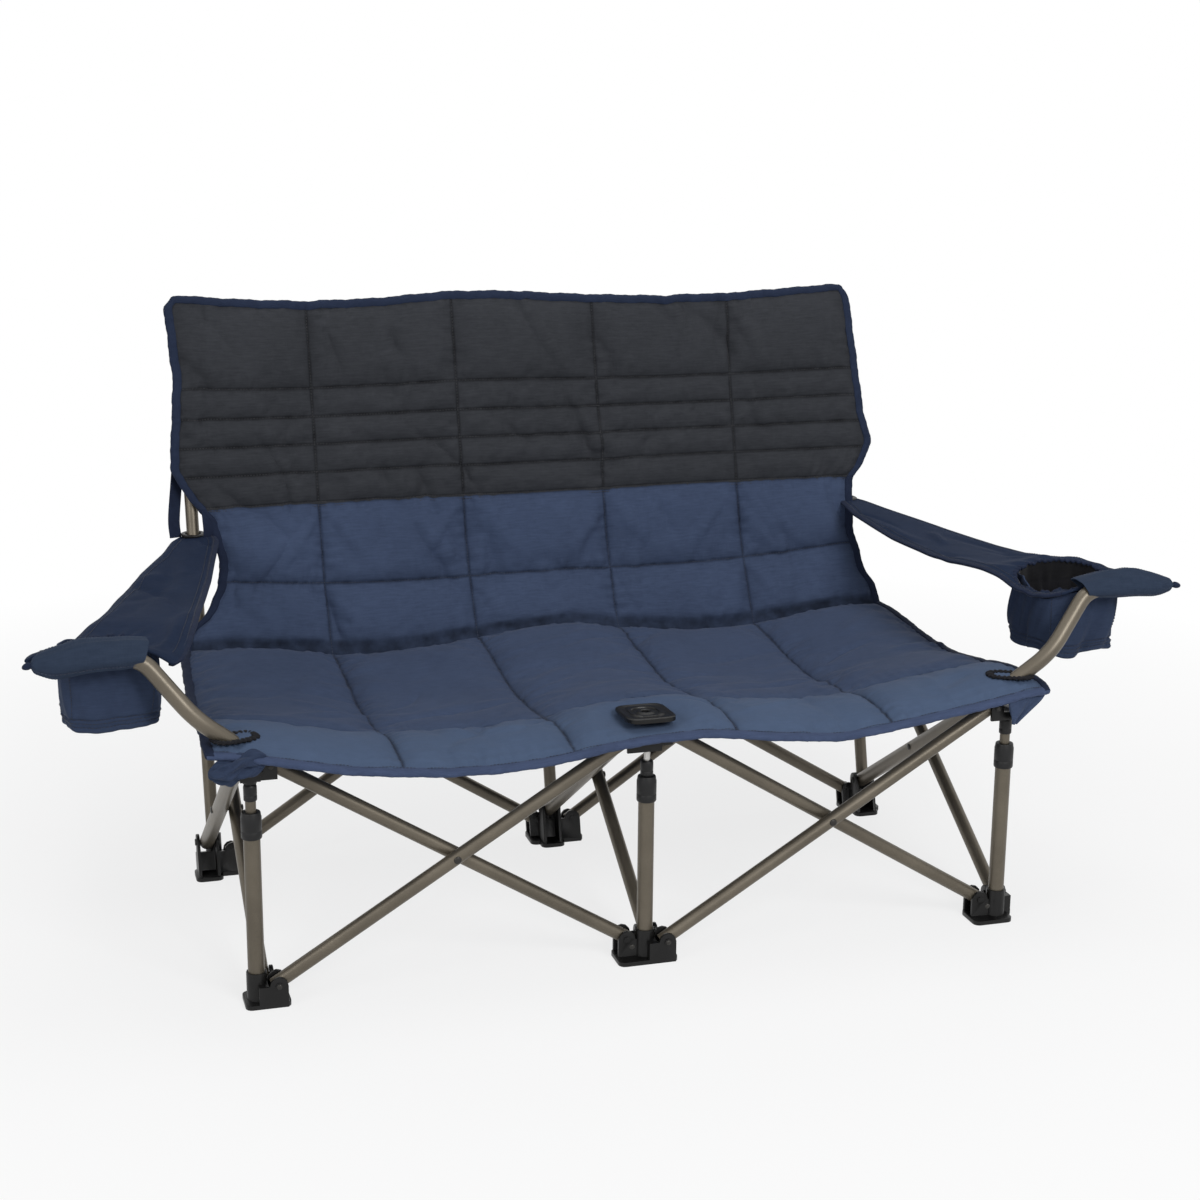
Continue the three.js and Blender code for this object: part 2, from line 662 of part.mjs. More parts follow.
function sidePlane(side, group) {
  const x = sideX[side];
  const frontX = x + frontSideX;
  const shifted = (point, offset) => point.clone().setX(offset);
  const sideTube = drilledTube(shifted(sideFoot, frontX), shifted(sideSlider, frontX), across.clone().negate(),
    crossRadius, [0, halfTube]);
  addMesh(group, `side_tube_${side}`, surface(sideTube), bronzeSteel());
  const { radius, x: offset } = armTube[side];
  const armX = x + offset;
  if (side === 'centre') {
    const tube = drilledTube(shifted(sideRearFoot, armX), shifted(sideHub, armX), across.clone(), radius,
      [0, footReach, footReach + halfTube]);
    addMesh(group, 'hub_tube_centre', surface(tube), bronzeSteel());
  } else {
    const bent = solid(alongPath(armPath(side, -tubeEnd), radius, radius - tubeWall));
    const holes = [sideRearFoot, sideCrossing, sideHub].map((point) => drilling(shifted(point, 0), across, radius));
    addMesh(group, `arm_tube_${side}`, surface(cut(bent, holes)), bronzeSteel(), new THREE.Vector3(armX, 0, 0));
  }
  const centre = shifted(sideCrossing, x);
  const sideRivet = rivet(centre, across, offset - radius, frontSideX + crossRadius);
  addMesh(group, `side_rivet_${side}`, sideRivet, brightRivet());
}

// Frame
const frame = new THREE.Group();
loveseat.add(frame);
for (const side of sides) {
  const leg = new THREE.Group();
  leg.position.x = sideX[side];
  frame.add(leg);
  addMesh(leg, `front_foot_${side}`, surface(frontFoot(side)), blackPlastic());
  telescope(side, leg);
  addMesh(leg, `front_hub_${side}`, surface(frontHub(side)), blackPlastic());
  addMesh(leg, `rear_foot_${side}`, surface(rearFoot(side)), blackPlastic());
  const uprightLow = rearBase.clone().addScaledVector(leanUp, uprightRun);
  const upright = bar(uprightLow, uprightTop, crossRadius, crossRadius - tubeWall);
  addMesh(leg, `back_upright_${side}`, upright, bronzeSteel());
  addMesh(leg, `rear_slider_${side}`, surface(rearSlider(side)), blackPlastic());
  sidePlane(side, frame);
}
crossPlane('front', new THREE.Vector3(0, 0, crossFootPin), up, back, frame);
crossPlane('rear', rearBase, leanUp, leanBack, frame);

// Quilted cloth: a closed solid between a front and a back sheet. middle(u, v) is the middle surface, normal(u, v)
// its direction, and thick(u, v) the thickness there.
function quilted(columns, rows, middle, normal, thick) {
  const positions = [];
  const index = [];
  const stride = columns + 1;
  const sheet = stride * (rows + 1);
  for (const sign of [1, -1]) {
    for (let j = 0; j <= rows; j += 1) {
      for (let i = 0; i <= columns; i += 1) {
        const u = 2 * i / columns - 1;
        const v = j / rows;
        const point = middle(u, v).addScaledVector(normal(u, v), sign * thick(u, v) / 2);
        positions.push(point.x, point.y, point.z);
      }
    }
  }
  const quad = (a, b, c, d) => index.push(a, b, c, a, c, d);
  for (let j = 0; j < rows; j += 1) {
    for (let i = 0; i < columns; i += 1) {
      const a = j * stride + i;
      quad(a, a + 1, a + stride + 1, a + stride);
      quad(sheet + a, sheet + a + stride, sheet + a + stride + 1, sheet + a + 1);
    }
  }
  for (let i = 0; i < columns; i += 1) {
    const far = rows * stride + i;
    quad(i, sheet + i, sheet + i + 1, i + 1);
    quad(far, far + 1, sheet + far + 1, sheet + far);
  }
  for (let j = 0; j < rows; j += 1) {
    const left = j * stride;
    const right = left + columns;
    quad(left, left + stride, sheet + left + stride, sheet + left);
    quad(right, sheet + right, sheet + right + stride, right + stride);
  }
  const geometry = new THREE.BufferGeometry();
  geometry.setAttribute('position', new THREE.Float32BufferAttribute(positions, 3));
  geometry.setIndex(index);
  return geometry;
}

// Padding swells between the seams: a half wave across a channel, flat at its seams
const swell = (share) => Math.sqrt(Math.max(0, Math.sin(Math.PI * Math.min(1, Math.max(0, share)))));

// Where x lies between its two seams, as a share. The outermost columns end at the cloth's edges.
function columnShare(x, halfWidth) {
  const near = seamSpacing / 2;
  const far = near + seamSpacing;
  return rowShare(x, [-halfWidth, -far, -near, near, far, halfWidth]);
}

function rowShare(v, seams) {
  const i = Math.max(0, seams.findIndex((seam, k) => k > 0 && v <= seam) - 1);
  return (v - seams[i]) / (seams[i + 1] - seams[i]);
}

// Seat: v runs from the front edge to the backrest seam. It sags between the posts and behind the hubs, and its
// front edge droops.
const seatRowShares = [0, 0.3, 1];
const seatDipStartShare = 0.14;
const seatDroopShare = 0.03;
const seatEdgeShare = 0.6;       // of the front reach, given up at the corners
const edgeTurn = 6;              // how late the front edge turns back towards a corner
const cornerTurn = 8;            // and how late it rises
function seatPoint(u, v) {
  const halfWidth = seatHalfWidthFront + (seatHalfWidthRear - seatHalfWidthFront) * v;
  const x = u * halfWidth;
  const frontEdge = -seatFrontReach * (1 - seatEdgeShare * Math.pow(Math.abs(u), edgeTurn));
  const y = frontEdge + (seatRearEdge - frontEdge) * v;
  const inward = Math.max(0, (v - seatDipStartShare) / (1 - seatDipStartShare));
  const level = seatFrontHeight + (seatRearHeight - seatFrontHeight) * v;
  const dip = seatDip * Math.pow(Math.sin(Math.PI * inward), 2);
  const corner = seatCornerRise * Math.pow(u, cornerTurn) * (1 - v);
  const droop = seatEdgeDroop * Math.exp(-v / seatDroopShare);
  const z = level - dip + seatSag * Math.cos(2 * Math.PI * x / bay) + corner - droop;
  return new THREE.Vector3(x, y, z);
}
const seatThickness = (u, v) => {
  const halfWidth = Math.abs(seatPoint(1, v).x);
  const puff = swell(columnShare(u * halfWidth, halfWidth)) * swell(rowShare(v, seatRowShares));
  return clothThickness + (padThickness - clothThickness) * puff;
};
const seatSheet = quilted(seatColumns, seatRows, seatPoint, () => up.clone(), seatThickness);

// The arm tubes come up through slots in the seat's front corners
const slots = ['left', 'right'].map((side) => {
  const path = armPath(side, halfTube);
  const cutter = alongPath(path, armRadius + bendGap + fitGap, 0);
  return solid(cutter.translate(sideX[side] + rearSideX, 0, 0));
});
addMesh(loveseat, 'seat_panel', surface(cut(solid(seatSheet), slots)), navyCloth());

// Backrest: lies just in front of the uprights and comes forward at its foot; v runs from the seam to the top
function backHeight(v) {
  const low = seatRearHeight + seatSag + padThickness;
  return low + (backTop - low) * v;
}

function backHalf(z) {
  if (z > borderHeight) {
    return backHalfWidth;
  }
  const fromWaist = (z - backWaistHeight) / (borderHeight - backWaistHeight);
  const spread = (backHalfWidth - backWaistHalfWidth) / 2;
  return backWaistHalfWidth + spread * Math.min(1, fromWaist * fromWaist);
}

function backPoint(u, v) {
  const z = backHeight(v);
  const x = u * backHalf(z);
  const axisY = rearBase.y + (z - rearBase.z) * Math.tan(lean);
  const forward = backGap / Math.cos(lean) + backForward * Math.exp((hubPin - z) / backForwardFade);
  return new THREE.Vector3(x, axisY - forward, z);
}

// Channels of the charcoal panel, then the navy panel, as shares of the backrest's height
const backSeamShares = [0, 0.16, 0.385, 0.47, 0.555, 0.64, 0.73, 1];
const backThickness = (u, v) => {
  const half = backHalf(backHeight(v));
  const puff = swell(columnShare(u * half, half)) * swell(rowShare(v, backSeamShares));
  return clothThickness + (padThickness - clothThickness) * puff;
};
const backSheet = quilted(seatColumns, backRows, backPoint, () => leanBack.clone().negate(), backThickness);
// The backrest hangs by closed pockets that slip over the tops of the uprights
const pockets = sides.map((side) => {
  const top = uprightTop.clone().setX(sideX[side]);
  const low = top.clone().addScaledVector(leanUp, -pocketLength);
  const inner = top.clone().addScaledVector(leanUp, fitGap);
  const outer = inner.clone().addScaledVector(leanUp, pocketWall);
  return {
    sleeve: solid(bar(low, outer, crossRadius + fitGap + pocketWall)),
    bore: solid(bar(low.addScaledVector(leanUp, -overrun), inner, crossRadius + fitGap)),
  };
});
const backWithPockets = join([solid(backSheet), ...pockets.map(({ sleeve }) => sleeve)]);
addMesh(loveseat, 'back_panel', surface(cut(backWithPockets, pockets.map(({ bore }) => bore))), charcoalCloth());

// Armrest, pouch and grommet on one side, in a frame that tilts with the armrest about the sleeve's mouth
function armrestSide(side) {
  const outward = Math.sign(sideX[side]);
  const armX = sideX[side] + rearSideX;
  const [worldMouth, worldTip] = armCornerShares.slice(-2).map((point) => (
    armPoint(outward, point).add(new THREE.Vector3(armX, 0, 0))));
  const group = new THREE.Group();
  group.position.set(0, worldMouth.y, worldMouth.z);
  group.rotation.x = armrestTilt;
  loveseat.add(group);
  const toGroup = (point) => point.clone().sub(group.position).applyAxisAngle(across, -armrestTilt);
  const mouth = toGroup(worldMouth);
  const tip = toGroup(worldTip);
  const along = tip.clone().sub(mouth).normalize();
  const sleeveEnd = tip.clone().addScaledVector(along, armRadius);
  const sleeveStart = sleeveEnd.clone().addScaledVector(along, -sleeveLength);
  const boreRadius = (armRadius + fitGap) / Math.cos(Math.PI / barSides);
  const sleeve = solid(bar(sleeveStart, sleeveEnd, boreRadius + sleeveWall));
  const bore = solid(bar(sleeveStart.clone().addScaledVector(along, -overrun),
    sleeveEnd.clone().addScaledVector(along, overrun), boreRadius));

  const uprightBase = toGroup(rearBase);
  const uprightAlong = leanUp.clone().applyAxisAngle(across, -armrestTilt);
  const uprightY = uprightBase.y - uprightBase.z * uprightAlong.y / uprightAlong.z;
  const outline = armrestOutline(uprightY, sleeveStart, sleeveEnd, outward);
  const sheetLow = -armrestThickness / 2;
  const sheet = solid(extruded(outline, armrestThickness).translate(0, 0, sheetLow));
  const cup = new THREE.Vector3(sideX[side] + outward * cupOut, cupBack, 0);
  const cupLow = cup.clone().setZ(sheetLow - overrun);
  const cupHigh = cup.clone().setZ(overrun - sheetLow);
  const cupHole = solid(bar(cupLow, cupHigh, cupHoleRadius, 0, cupSegments));
  const grommetOuter = crossRadius + grommetGap + grommetWall;
  const ringLow = new THREE.Vector3(sideX[side], uprightY, -grommetHeight / 2);
  const ringHigh = ringLow.clone().setZ(grommetHeight / 2);
  const seatHole = solid(bar(ringLow, ringHigh, grommetOuter + fitGap));
  const rest = cut(join([sheet, sleeve]), [bore, cupHole, seatHole]);
  addMesh(group, `armrest_${side}`, surface(rest), navyCloth());
  const grommet = bar(ringLow, ringHigh, grommetOuter, grommetOuter - grommetWall);
  addMesh(group, `arm_grommet_${side}`, grommet, blackPlastic());

  const top = sheetLow - fitGap;
  const pouchBlock = (wall) => {
    const x = pouchWidth / 2 - wall;
    const y = pouchDepth / 2 - wall;
    return solid(roundedPlate(-x, x, -y, y, pouchCorner - wall, pouchHeight).translate(0, 0, wall));
  };
  const pouch = surface(cut(pouchBlock(0), [pouchBlock(pouchWall)]));
  addMesh(group, `cup_pouch_${side}`, pouch, navyCloth(), cup.setZ(top - pouchHeight));
}

// Outline seen from above: wide round the cup, narrowing to the upright. Each pair is a share of the way from the
// upright out to the sleeve's tip, and a share of the way back from the sleeve to the upright.
function armrestOutline(uprightY, sleeveStart, sleeveEnd, outward) {
  const reach = Math.abs(sleeveEnd.x) - bay;
  const front = sleeveStart.y + armRadius + sleeveWall / 2;
  const depth = uprightY - front;
  const edgeShares = [
    [0.97, 0], [0.93, 0.06], [0.88, 0.11], [0.8, 0.18], [0.7, 0.27], [0.6, 0.37], [0.48, 0.53], [0.35, 0.72],
    [0.21, 0.9], [0.13, 1.02], [0, 1.055], [-0.08, 1.02], [-0.1, 0.88], [-0.03, 0.56], [0.05, 0.36], [0.12, 0.15],
    [0.2, 0.06], [0.32, 0.03], [0.5, 0.03],
  ];
  const points = edgeShares.map(([wide, deep]) => [bay + reach * wide, front + depth * deep]);
  points.push([Math.abs(sleeveStart.x) + sleeveWall, sleeveStart.y + armRadius]);
  points.push([Math.abs(sleeveStart.x) + sleeveWall, sleeveStart.y]);
  points.push([Math.abs(sleeveEnd.x) - sleeveWall, sleeveEnd.y]);
  const shape = new THREE.Shape();
  points.forEach(([x, y], i) => (i ? shape.lineTo(outward * x, y) : shape.moveTo(outward * x, y)));
  return shape;
}
armrestSide('left');
armrestSide('right');

// Seat plate: a rounded black plate with a recessed ring and a hole, on the cloth over the middle hub
function seatPlate() {
  const half = { x: plateWidth / 2, y: plateDepth / 2 };
  const plate = solid(roundedPlate(-half.x, half.x, -half.y, half.y, plateCorner, plateThickness));
  const height = (z) => new THREE.Vector3(0, 0, z);
  const recess = solid(bar(height(plateThickness - plateRecess), height(plateThickness + overrun), plateRing));
  const hole = solid(bar(height(-overrun), height(plateThickness + overrun), plateHole));
  return cut(plate, [recess, hole]);
}
// It lies on the highest seat cloth beneath it
const beneath = [-1, 0, 1].map((end) => {
  const y = plateSetback + end * plateDepth / 2;
  const v = (y + seatFrontReach) / (seatRearEdge + seatFrontReach);
  return seatPoint(0, v).z + padThickness / 2;
});
const plateZ = Math.max(...beneath) + fitGap;
addMesh(loveseat, 'seat_plate', surface(seatPlate()), blackPlastic(), new THREE.Vector3(0, plateSetback, plateZ));

// Origin at the middle of the footprint, on the floor
const bounds = new THREE.Box3().setFromObject(loveseat, true);
const middle = bounds.getCenter(new THREE.Vector3());
loveseat.position.set(-middle.x, -middle.y, -bounds.min.z);

export default loveseat;
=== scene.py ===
import json
import math

import bmesh
import bpy
import numpy as np
from mathutils import Matrix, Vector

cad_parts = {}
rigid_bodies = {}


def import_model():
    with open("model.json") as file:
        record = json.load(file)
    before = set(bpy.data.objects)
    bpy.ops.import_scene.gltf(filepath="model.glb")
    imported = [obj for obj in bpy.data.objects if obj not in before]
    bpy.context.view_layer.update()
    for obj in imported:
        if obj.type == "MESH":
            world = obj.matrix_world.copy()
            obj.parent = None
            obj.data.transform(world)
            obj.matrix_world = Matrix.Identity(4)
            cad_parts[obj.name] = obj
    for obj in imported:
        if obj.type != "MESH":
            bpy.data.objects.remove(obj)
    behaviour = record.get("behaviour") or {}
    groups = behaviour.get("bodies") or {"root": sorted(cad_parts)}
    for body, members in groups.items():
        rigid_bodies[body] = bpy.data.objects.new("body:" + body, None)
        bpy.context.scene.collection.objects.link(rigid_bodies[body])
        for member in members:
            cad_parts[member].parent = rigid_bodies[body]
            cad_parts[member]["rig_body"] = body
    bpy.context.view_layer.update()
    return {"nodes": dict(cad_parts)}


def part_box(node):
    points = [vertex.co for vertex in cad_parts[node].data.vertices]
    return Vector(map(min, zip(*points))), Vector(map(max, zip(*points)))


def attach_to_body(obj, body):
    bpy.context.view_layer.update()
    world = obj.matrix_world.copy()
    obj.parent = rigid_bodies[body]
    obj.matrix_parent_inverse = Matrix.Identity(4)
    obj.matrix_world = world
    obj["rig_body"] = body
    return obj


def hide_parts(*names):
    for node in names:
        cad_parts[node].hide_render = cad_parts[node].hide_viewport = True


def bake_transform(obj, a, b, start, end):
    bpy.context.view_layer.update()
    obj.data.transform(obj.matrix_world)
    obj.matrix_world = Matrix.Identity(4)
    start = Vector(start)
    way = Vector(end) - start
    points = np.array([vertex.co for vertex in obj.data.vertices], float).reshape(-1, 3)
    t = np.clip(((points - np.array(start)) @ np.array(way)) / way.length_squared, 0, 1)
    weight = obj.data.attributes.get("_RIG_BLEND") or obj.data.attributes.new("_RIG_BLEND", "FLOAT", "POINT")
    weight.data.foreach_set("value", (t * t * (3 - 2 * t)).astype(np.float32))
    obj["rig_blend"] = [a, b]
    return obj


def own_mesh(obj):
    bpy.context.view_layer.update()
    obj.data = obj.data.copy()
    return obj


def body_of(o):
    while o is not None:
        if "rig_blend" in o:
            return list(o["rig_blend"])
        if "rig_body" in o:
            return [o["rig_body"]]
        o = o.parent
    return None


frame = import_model()

# Folding camping loveseat. Lengths are in metres. x runs to the right as seen facing the seat, y back from the
# line of the front posts, and z up from the floor; put_mesh moves y to the model's own origin.
post_low, post_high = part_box("front_post_centre")
POST_LINE = (post_low[1] + post_high[1]) / 2
BAY = 0.53
SIDES = {"left": -BAY, "centre": 0.0, "right": BAY}
LEAN = math.radians(14.5)
TUBE, ARM_TUBE, POST, MIDDLE_TUBE = 0.0095, 0.011, 0.011, 0.007  # outer radii
WALL = 0.0012
PIN = 0.026  # from the middle of a post or an upright to the pins of its brackets
FOOT_PIN, HUB_PIN = 0.030, 0.325  # heights of the front pins
SEAMS = np.array([-0.339, -0.113, 0.113, 0.339])
SEAT_SPLITS = (-0.21, 0.21)


# ---------------------------------------------------------------- shapes
def unit(vectors):
    """Vectors over their lengths."""
    vectors = np.asarray(vectors, float)
    return vectors / np.maximum(np.linalg.norm(vectors, axis=-1, keepdims=True), 1e-12)


def smooth(share):
    """3s^2 - 2s^3 of a share held between 0 and 1."""
    share = np.clip(share, 0, 1)
    return share * share * (3 - 2 * share)


def soft(x, knots, values, reach=0.012):
    """A line through knots, averaged over +-reach so that its corners are rounded."""
    steps = np.linspace(-reach, reach, 9)
    return np.mean([np.interp(x + step, knots, values) for step in steps], axis=0)


def curve(points, spacing):
    """Catmull-Rom curve through points, sampled at an even spacing."""
    p = np.asarray(points, float)
    p = np.vstack([2 * p[0] - p[1], p, 2 * p[-1] - p[-2]])
    t = np.linspace(0, 1, 24, endpoint=False)[:, None, None]
    a, b, c, d = p[:-3], p[1:-2], p[2:-1], p[3:]
    q = 0.5 * (2 * b + (c - a) * t + (2 * a - 5 * b + 4 * c - d) * t ** 2 + (3 * b - a - 3 * c + d) * t ** 3)
    return evenly(np.vstack([q.transpose(1, 0, 2).reshape(-1, p.shape[1]), p[-2]]), spacing)


def lengths(path):
    """Length along a polyline at each of its points."""
    return np.concatenate([[0], np.cumsum(np.linalg.norm(np.diff(path, axis=0), axis=1))])


def evenly(path, spacing):
    """The same polyline with its points spaced evenly along its length."""
    run = lengths(path)
    at = np.linspace(0, run[-1], max(2, int(round(run[-1] / spacing)) + 1))
    return np.stack([np.interp(at, run, path[:, k]) for k in range(path.shape[1])], axis=1)


def put_mesh(name, points, faces, finish, flat=None, crease=None):
    """A mesh object from points in chair coordinates. flat gives each point's place on the flat cloth, in metres."""
    points = np.asarray(points, float).reshape(-1, 3) + [0, POST_LINE, 0]
    mesh = bpy.data.meshes.new(name)
    mesh.from_pydata(points.tolist(), [], [list(map(int, face)) for face in faces])
    mesh.polygons.foreach_set("use_smooth", np.ones(len(mesh.polygons), bool))
    if flat is not None:
        corners = np.empty(len(mesh.loops), int)
        mesh.loops.foreach_get("vertex_index", corners)
        mesh.uv_layers.new(name="cloth").data.foreach_set("uv", np.asarray(flat, np.float32)[corners].ravel())
    if crease is not None:
        mesh.set_sharp_from_angle(angle=math.radians(crease))
    mesh.update()
    obj = bpy.data.objects.new(name, mesh)
    bpy.context.scene.collection.objects.link(obj)
    mesh.materials.append(finish)
    return obj


def ring_faces(rings, sides, closed_run=False, start=0):
    """Quads between rings of points, each ring closed on itself; closed_run joins the last ring to the first."""
    k = start + np.arange(rings * sides).reshape(rings, sides)
    nxt = np.roll(k, -1, axis=0) if closed_run else k[1:]
    low = k if closed_run else k[:-1]
    return np.stack([low, np.roll(low, -1, axis=1), np.roll(nxt, -1, axis=1), nxt], axis=-1).reshape(-1, 4)


def circle(points):
    """Angles evenly round a whole turn."""
    return np.linspace(0, 2 * np.pi, points, endpoint=False)


def ellipse(points, wide, high):
    """An ellipse as a profile of (a, b) pairs."""
    turn = circle(points)
    return np.stack([wide * np.cos(turn), high * np.sin(turn)], 1)


def superellipse(turn, power):
    """Cosines and sines of the angles, taken out to a superellipse of that power."""
    c, s = np.cos(turn), np.sin(turn)
    spread = (np.abs(c) ** power + np.abs(s) ** power) ** (-1 / power)
    return spread * c, spread * s


def frames_along(path):
    """Tangent and two square directions at each point, carried along without twist."""
    tangent = unit(np.gradient(path, axis=0))
    side = np.zeros_like(path)
    seed = np.array([0, 0, 1] if abs(tangent[0, 2]) < 0.9 else [1, 0, 0], float)
    for i, t in enumerate(tangent):
        seed = seed - t * (seed @ t)
        side[i] = seed = seed / np.linalg.norm(seed)
    return tangent, side, np.cross(tangent, side)


def pipe(name, path, radius, finish, sides=40):
    """A round steel tube along a path: circles of the outer radius run out, circles of the bore run back, and the
    two ends are eased by about a third of the wall."""
    tangent, side, up = frames_along(path)
    ease = 0.35 * WALL
    run = np.vstack([path[0], path[0] + tangent[0] * ease, path[1:-1], path[-1] - tangent[-1] * ease, path[-1]])
    pick = np.concatenate([[0, 0], np.arange(1, len(path) - 1), [-1, -1]])
    outer = np.full(len(run), radius)
    outer[[0, -1]] -= ease
    centres = np.vstack([run, run[::-1]])
    radii = np.concatenate([outer, np.full(len(run), radius - WALL)])
    pick = np.concatenate([pick, pick[::-1]])
    turn = circle(sides)
    ring = np.cos(turn)[None, :, None] * side[pick][:, None] + np.sin(turn)[None, :, None] * up[pick][:, None]
    points = centres[:, None] + radii[:, None, None] * ring
    faces = ring_faces(len(centres), sides, closed_run=True)[:, ::-1]
    return put_mesh(name, points, faces, finish, crease=40)


def turned(outline, origin, axis, sides=40):
    """A lathed solid: outline is (radius, height) pairs; a zero radius at an end closes it in a pole, and otherwise
    the outline closes on itself."""
    outline = np.asarray(outline, float)
    axis = unit(axis)
    side = unit(np.cross(axis, [0, 1, 0.3]))
    up = np.cross(axis, side)
    turn = circle(sides)
    around = np.cos(turn)[:, None] * side + np.sin(turn)[:, None] * up
    poles = outline[0, 0] == 0
    rings = outline[1:-1] if poles else outline
    points = (origin + rings[:, None, 1:] * axis + rings[:, None, :1] * around[None]).reshape(-1, 3)
    faces = ring_faces(len(rings), sides, closed_run=not poles).tolist()
    if poles:
        low, high = len(points), len(points) + 1
        points = np.vstack([points, origin + outline[0, 1] * axis, origin + outline[-1, 1] * axis])
        k = np.arange(sides)
        last = (len(rings) - 1) * sides
        faces += np.stack([np.roll(k, -1), k, np.full(sides, low)], 1).tolist()
        faces += np.stack([last + k, last + np.roll(k, -1), np.full(sides, high)], 1).tolist()
    return points, faces


def outward(points, faces):
    """Turns every face over if the closed shape's volume comes out negative."""
    points = np.asarray(points).reshape(-1, 3)
    a, b, c = (points[[face[i] for face in faces]] for i in (0, 1, 2))
    volume = np.einsum("ij,ij->", a, np.cross(b, c))
    for i in range(3, max(len(face) for face in faces)):
        more = [face for face in faces if len(face) > i]
        a, b, c = (points[[face[j] for face in more]] for j in (0, i - 1, i))
        volume += np.einsum("ij,ij->", a, np.cross(b, c))
    return faces if volume > 0 else [list(face)[::-1] for face in faces]


def put_solid(name, parts, finish, crease=35, flat=None):
    """One mesh from several closed shapes, each given as points and faces."""
    points, faces, count = [], [], 0
    for some, their in parts:
        some = np.asarray(some).reshape(-1, 3)
        faces += [[count + i for i in face] for face in outward(some, [list(face) for face in their])]
        points.append(some)
        count += len(some)
    return put_mesh(name, np.vstack(points), faces, finish, flat=flat, crease=crease)


def carried(path, inward, normal, profile, closed=False):
    """A closed profile of (a, b) pairs carried along a path: each point is path + a * inward + b * normal."""
    profile = np.asarray(profile, float)
    ring = (path[:, None] + profile[None, :, :1] * inward[:, None] + profile[None, :, 1:] * normal[:, None])
    rows, sides = ring.shape[:2]
    return ring.reshape(-1, 3), ring_faces(rows, sides, closed_run=True) if closed else capped(rows, sides)


def capped(rows, sides):
    """Quads between rings of points, with a flat face over each end."""
    last = (rows - 1) * sides
    return ring_faces(rows, sides).tolist() + [list(range(sides))[::-1], list(range(last, last + sides))]


def double_shell(outer, inner):
    """A closed wall between two stacks of rings: joined at the mouth, and each with its own floor."""
    rows, sides = outer.shape[:2]
    floor = np.arange((rows - 1) * sides, rows * sides)
    faces = np.delete(ring_faces(rows + len(inner), sides, closed_run=True), floor, axis=0).tolist()
    return np.vstack([outer, inner[::-1]]), faces + [floor.tolist(), (floor + sides)[::-1].tolist()]


def slab(front, back):
    """A closed panel between a front and a back grid of points, with a wall round its edge."""
    rows, cols = front.shape[:2]
    n = rows * cols
    k = np.arange(n).reshape(rows, cols)
    a, b, c, d = k[:-1, :-1], k[:-1, 1:], k[1:, 1:], k[1:, :-1]
    near = np.stack([a, b, c, d], -1).reshape(-1, 4)
    far = np.stack([a, d, c, b], -1).reshape(-1, 4) + n
    rim = np.concatenate([k[0, :-1], k[:-1, -1], k[-1, :0:-1], k[:0:-1, 0]])
    nxt = np.roll(rim, -1)
    wall = np.stack([rim, rim + n, nxt + n, nxt], -1)
    return np.vstack([front.reshape(-1, 3), back.reshape(-1, 3)]), np.vstack([near, far, wall])


def stitches(lines, radius=0.0005, pitch=0.0046, length=0.0033, lift=0.0004):
    """Rows of thread: short six-sided bars set end to end along each (path, normal) pair."""
    turn = circle(6)
    along = np.array([-0.5, -0.3, 0.3, 0.5]) * length
    size = np.array([0.35, 1, 1, 0.35]) * radius
    bar = np.stack([np.repeat(along, 6), np.outer(size, np.cos(turn)).ravel(), np.outer(size, np.sin(turn)).ravel()], 1)
    shell = ring_faces(4, 6)
    ends = [list(range(6))[::-1], list(range(18, 24))]
    points, faces, count = [], [], 0
    for path, normal in lines:
        both = evenly(np.hstack([path, 1e-4 * unit(normal)]), pitch)  # the normals too small to count as length
        if len(both) < 3:
            continue
        at, up = both[:, :3], unit(both[:, 3:])
        tangent = unit(np.gradient(at, axis=0))
        up = unit(up - tangent * np.sum(up * tangent, axis=1, keepdims=True))
        side = np.cross(up, tangent)
        at = at + up * lift
        verts = (at[:, None] + bar[None, :, :1] * tangent[:, None] + bar[None, :, 1:2] * side[:, None]
                 + bar[None, :, 2:] * up[:, None])
        starts = count + 24 * np.arange(len(at))
        faces += (starts[:, None, None] + shell[None]).reshape(-1, 4).tolist()
        for end in ends:
            faces += (starts[:, None] + np.array(end)[None]).tolist()
        points.append(verts.reshape(-1, 3))
        count += 24 * len(at)
    return np.vstack(points), faces


def applied(obj):
    """The object's mesh with its modifiers applied, put in place of the mesh it had."""
    bpy.context.view_layer.update()
    mesh = bpy.data.meshes.new_from_object(obj.evaluated_get(bpy.context.evaluated_depsgraph_get()))
    obj.modifiers.clear()
    obj.data = mesh
    return mesh


def eased_copy(node, finish, width=0.0008):
    """A copy of a moulded bracket, its loose triangles merged into clean faces and its edges rounded over."""
    source = frame["nodes"][node]
    work = bmesh.new()
    work.from_mesh(source.data)
    bmesh.ops.remove_doubles(work, verts=work.verts, dist=1e-6)
    bmesh.ops.dissolve_limit(work, angle_limit=math.radians(0.5), verts=work.verts, edges=work.edges)
    mesh = bpy.data.meshes.new(node + "_moulded")
    work.to_mesh(mesh)
    work.free()
    mesh.materials.clear()
    mesh.materials.append(finish)
    mesh.transform(source.matrix_world)
    obj = bpy.data.objects.new(node + "_moulded", mesh)
    bpy.context.scene.collection.objects.link(obj)
    round_over = obj.modifiers.new("rounded edges", "BEVEL")
    round_over.width = width
    round_over.segments = 2
    round_over.limit_method = "ANGLE"
    round_over.angle_limit = math.radians(38)
    round_over.use_clamp_overlap = True
    done = applied(obj)
    done.polygons.foreach_set("use_smooth", np.ones(len(done.polygons), bool))
    done.set_sharp_from_angle(angle=math.radians(42))
    return obj


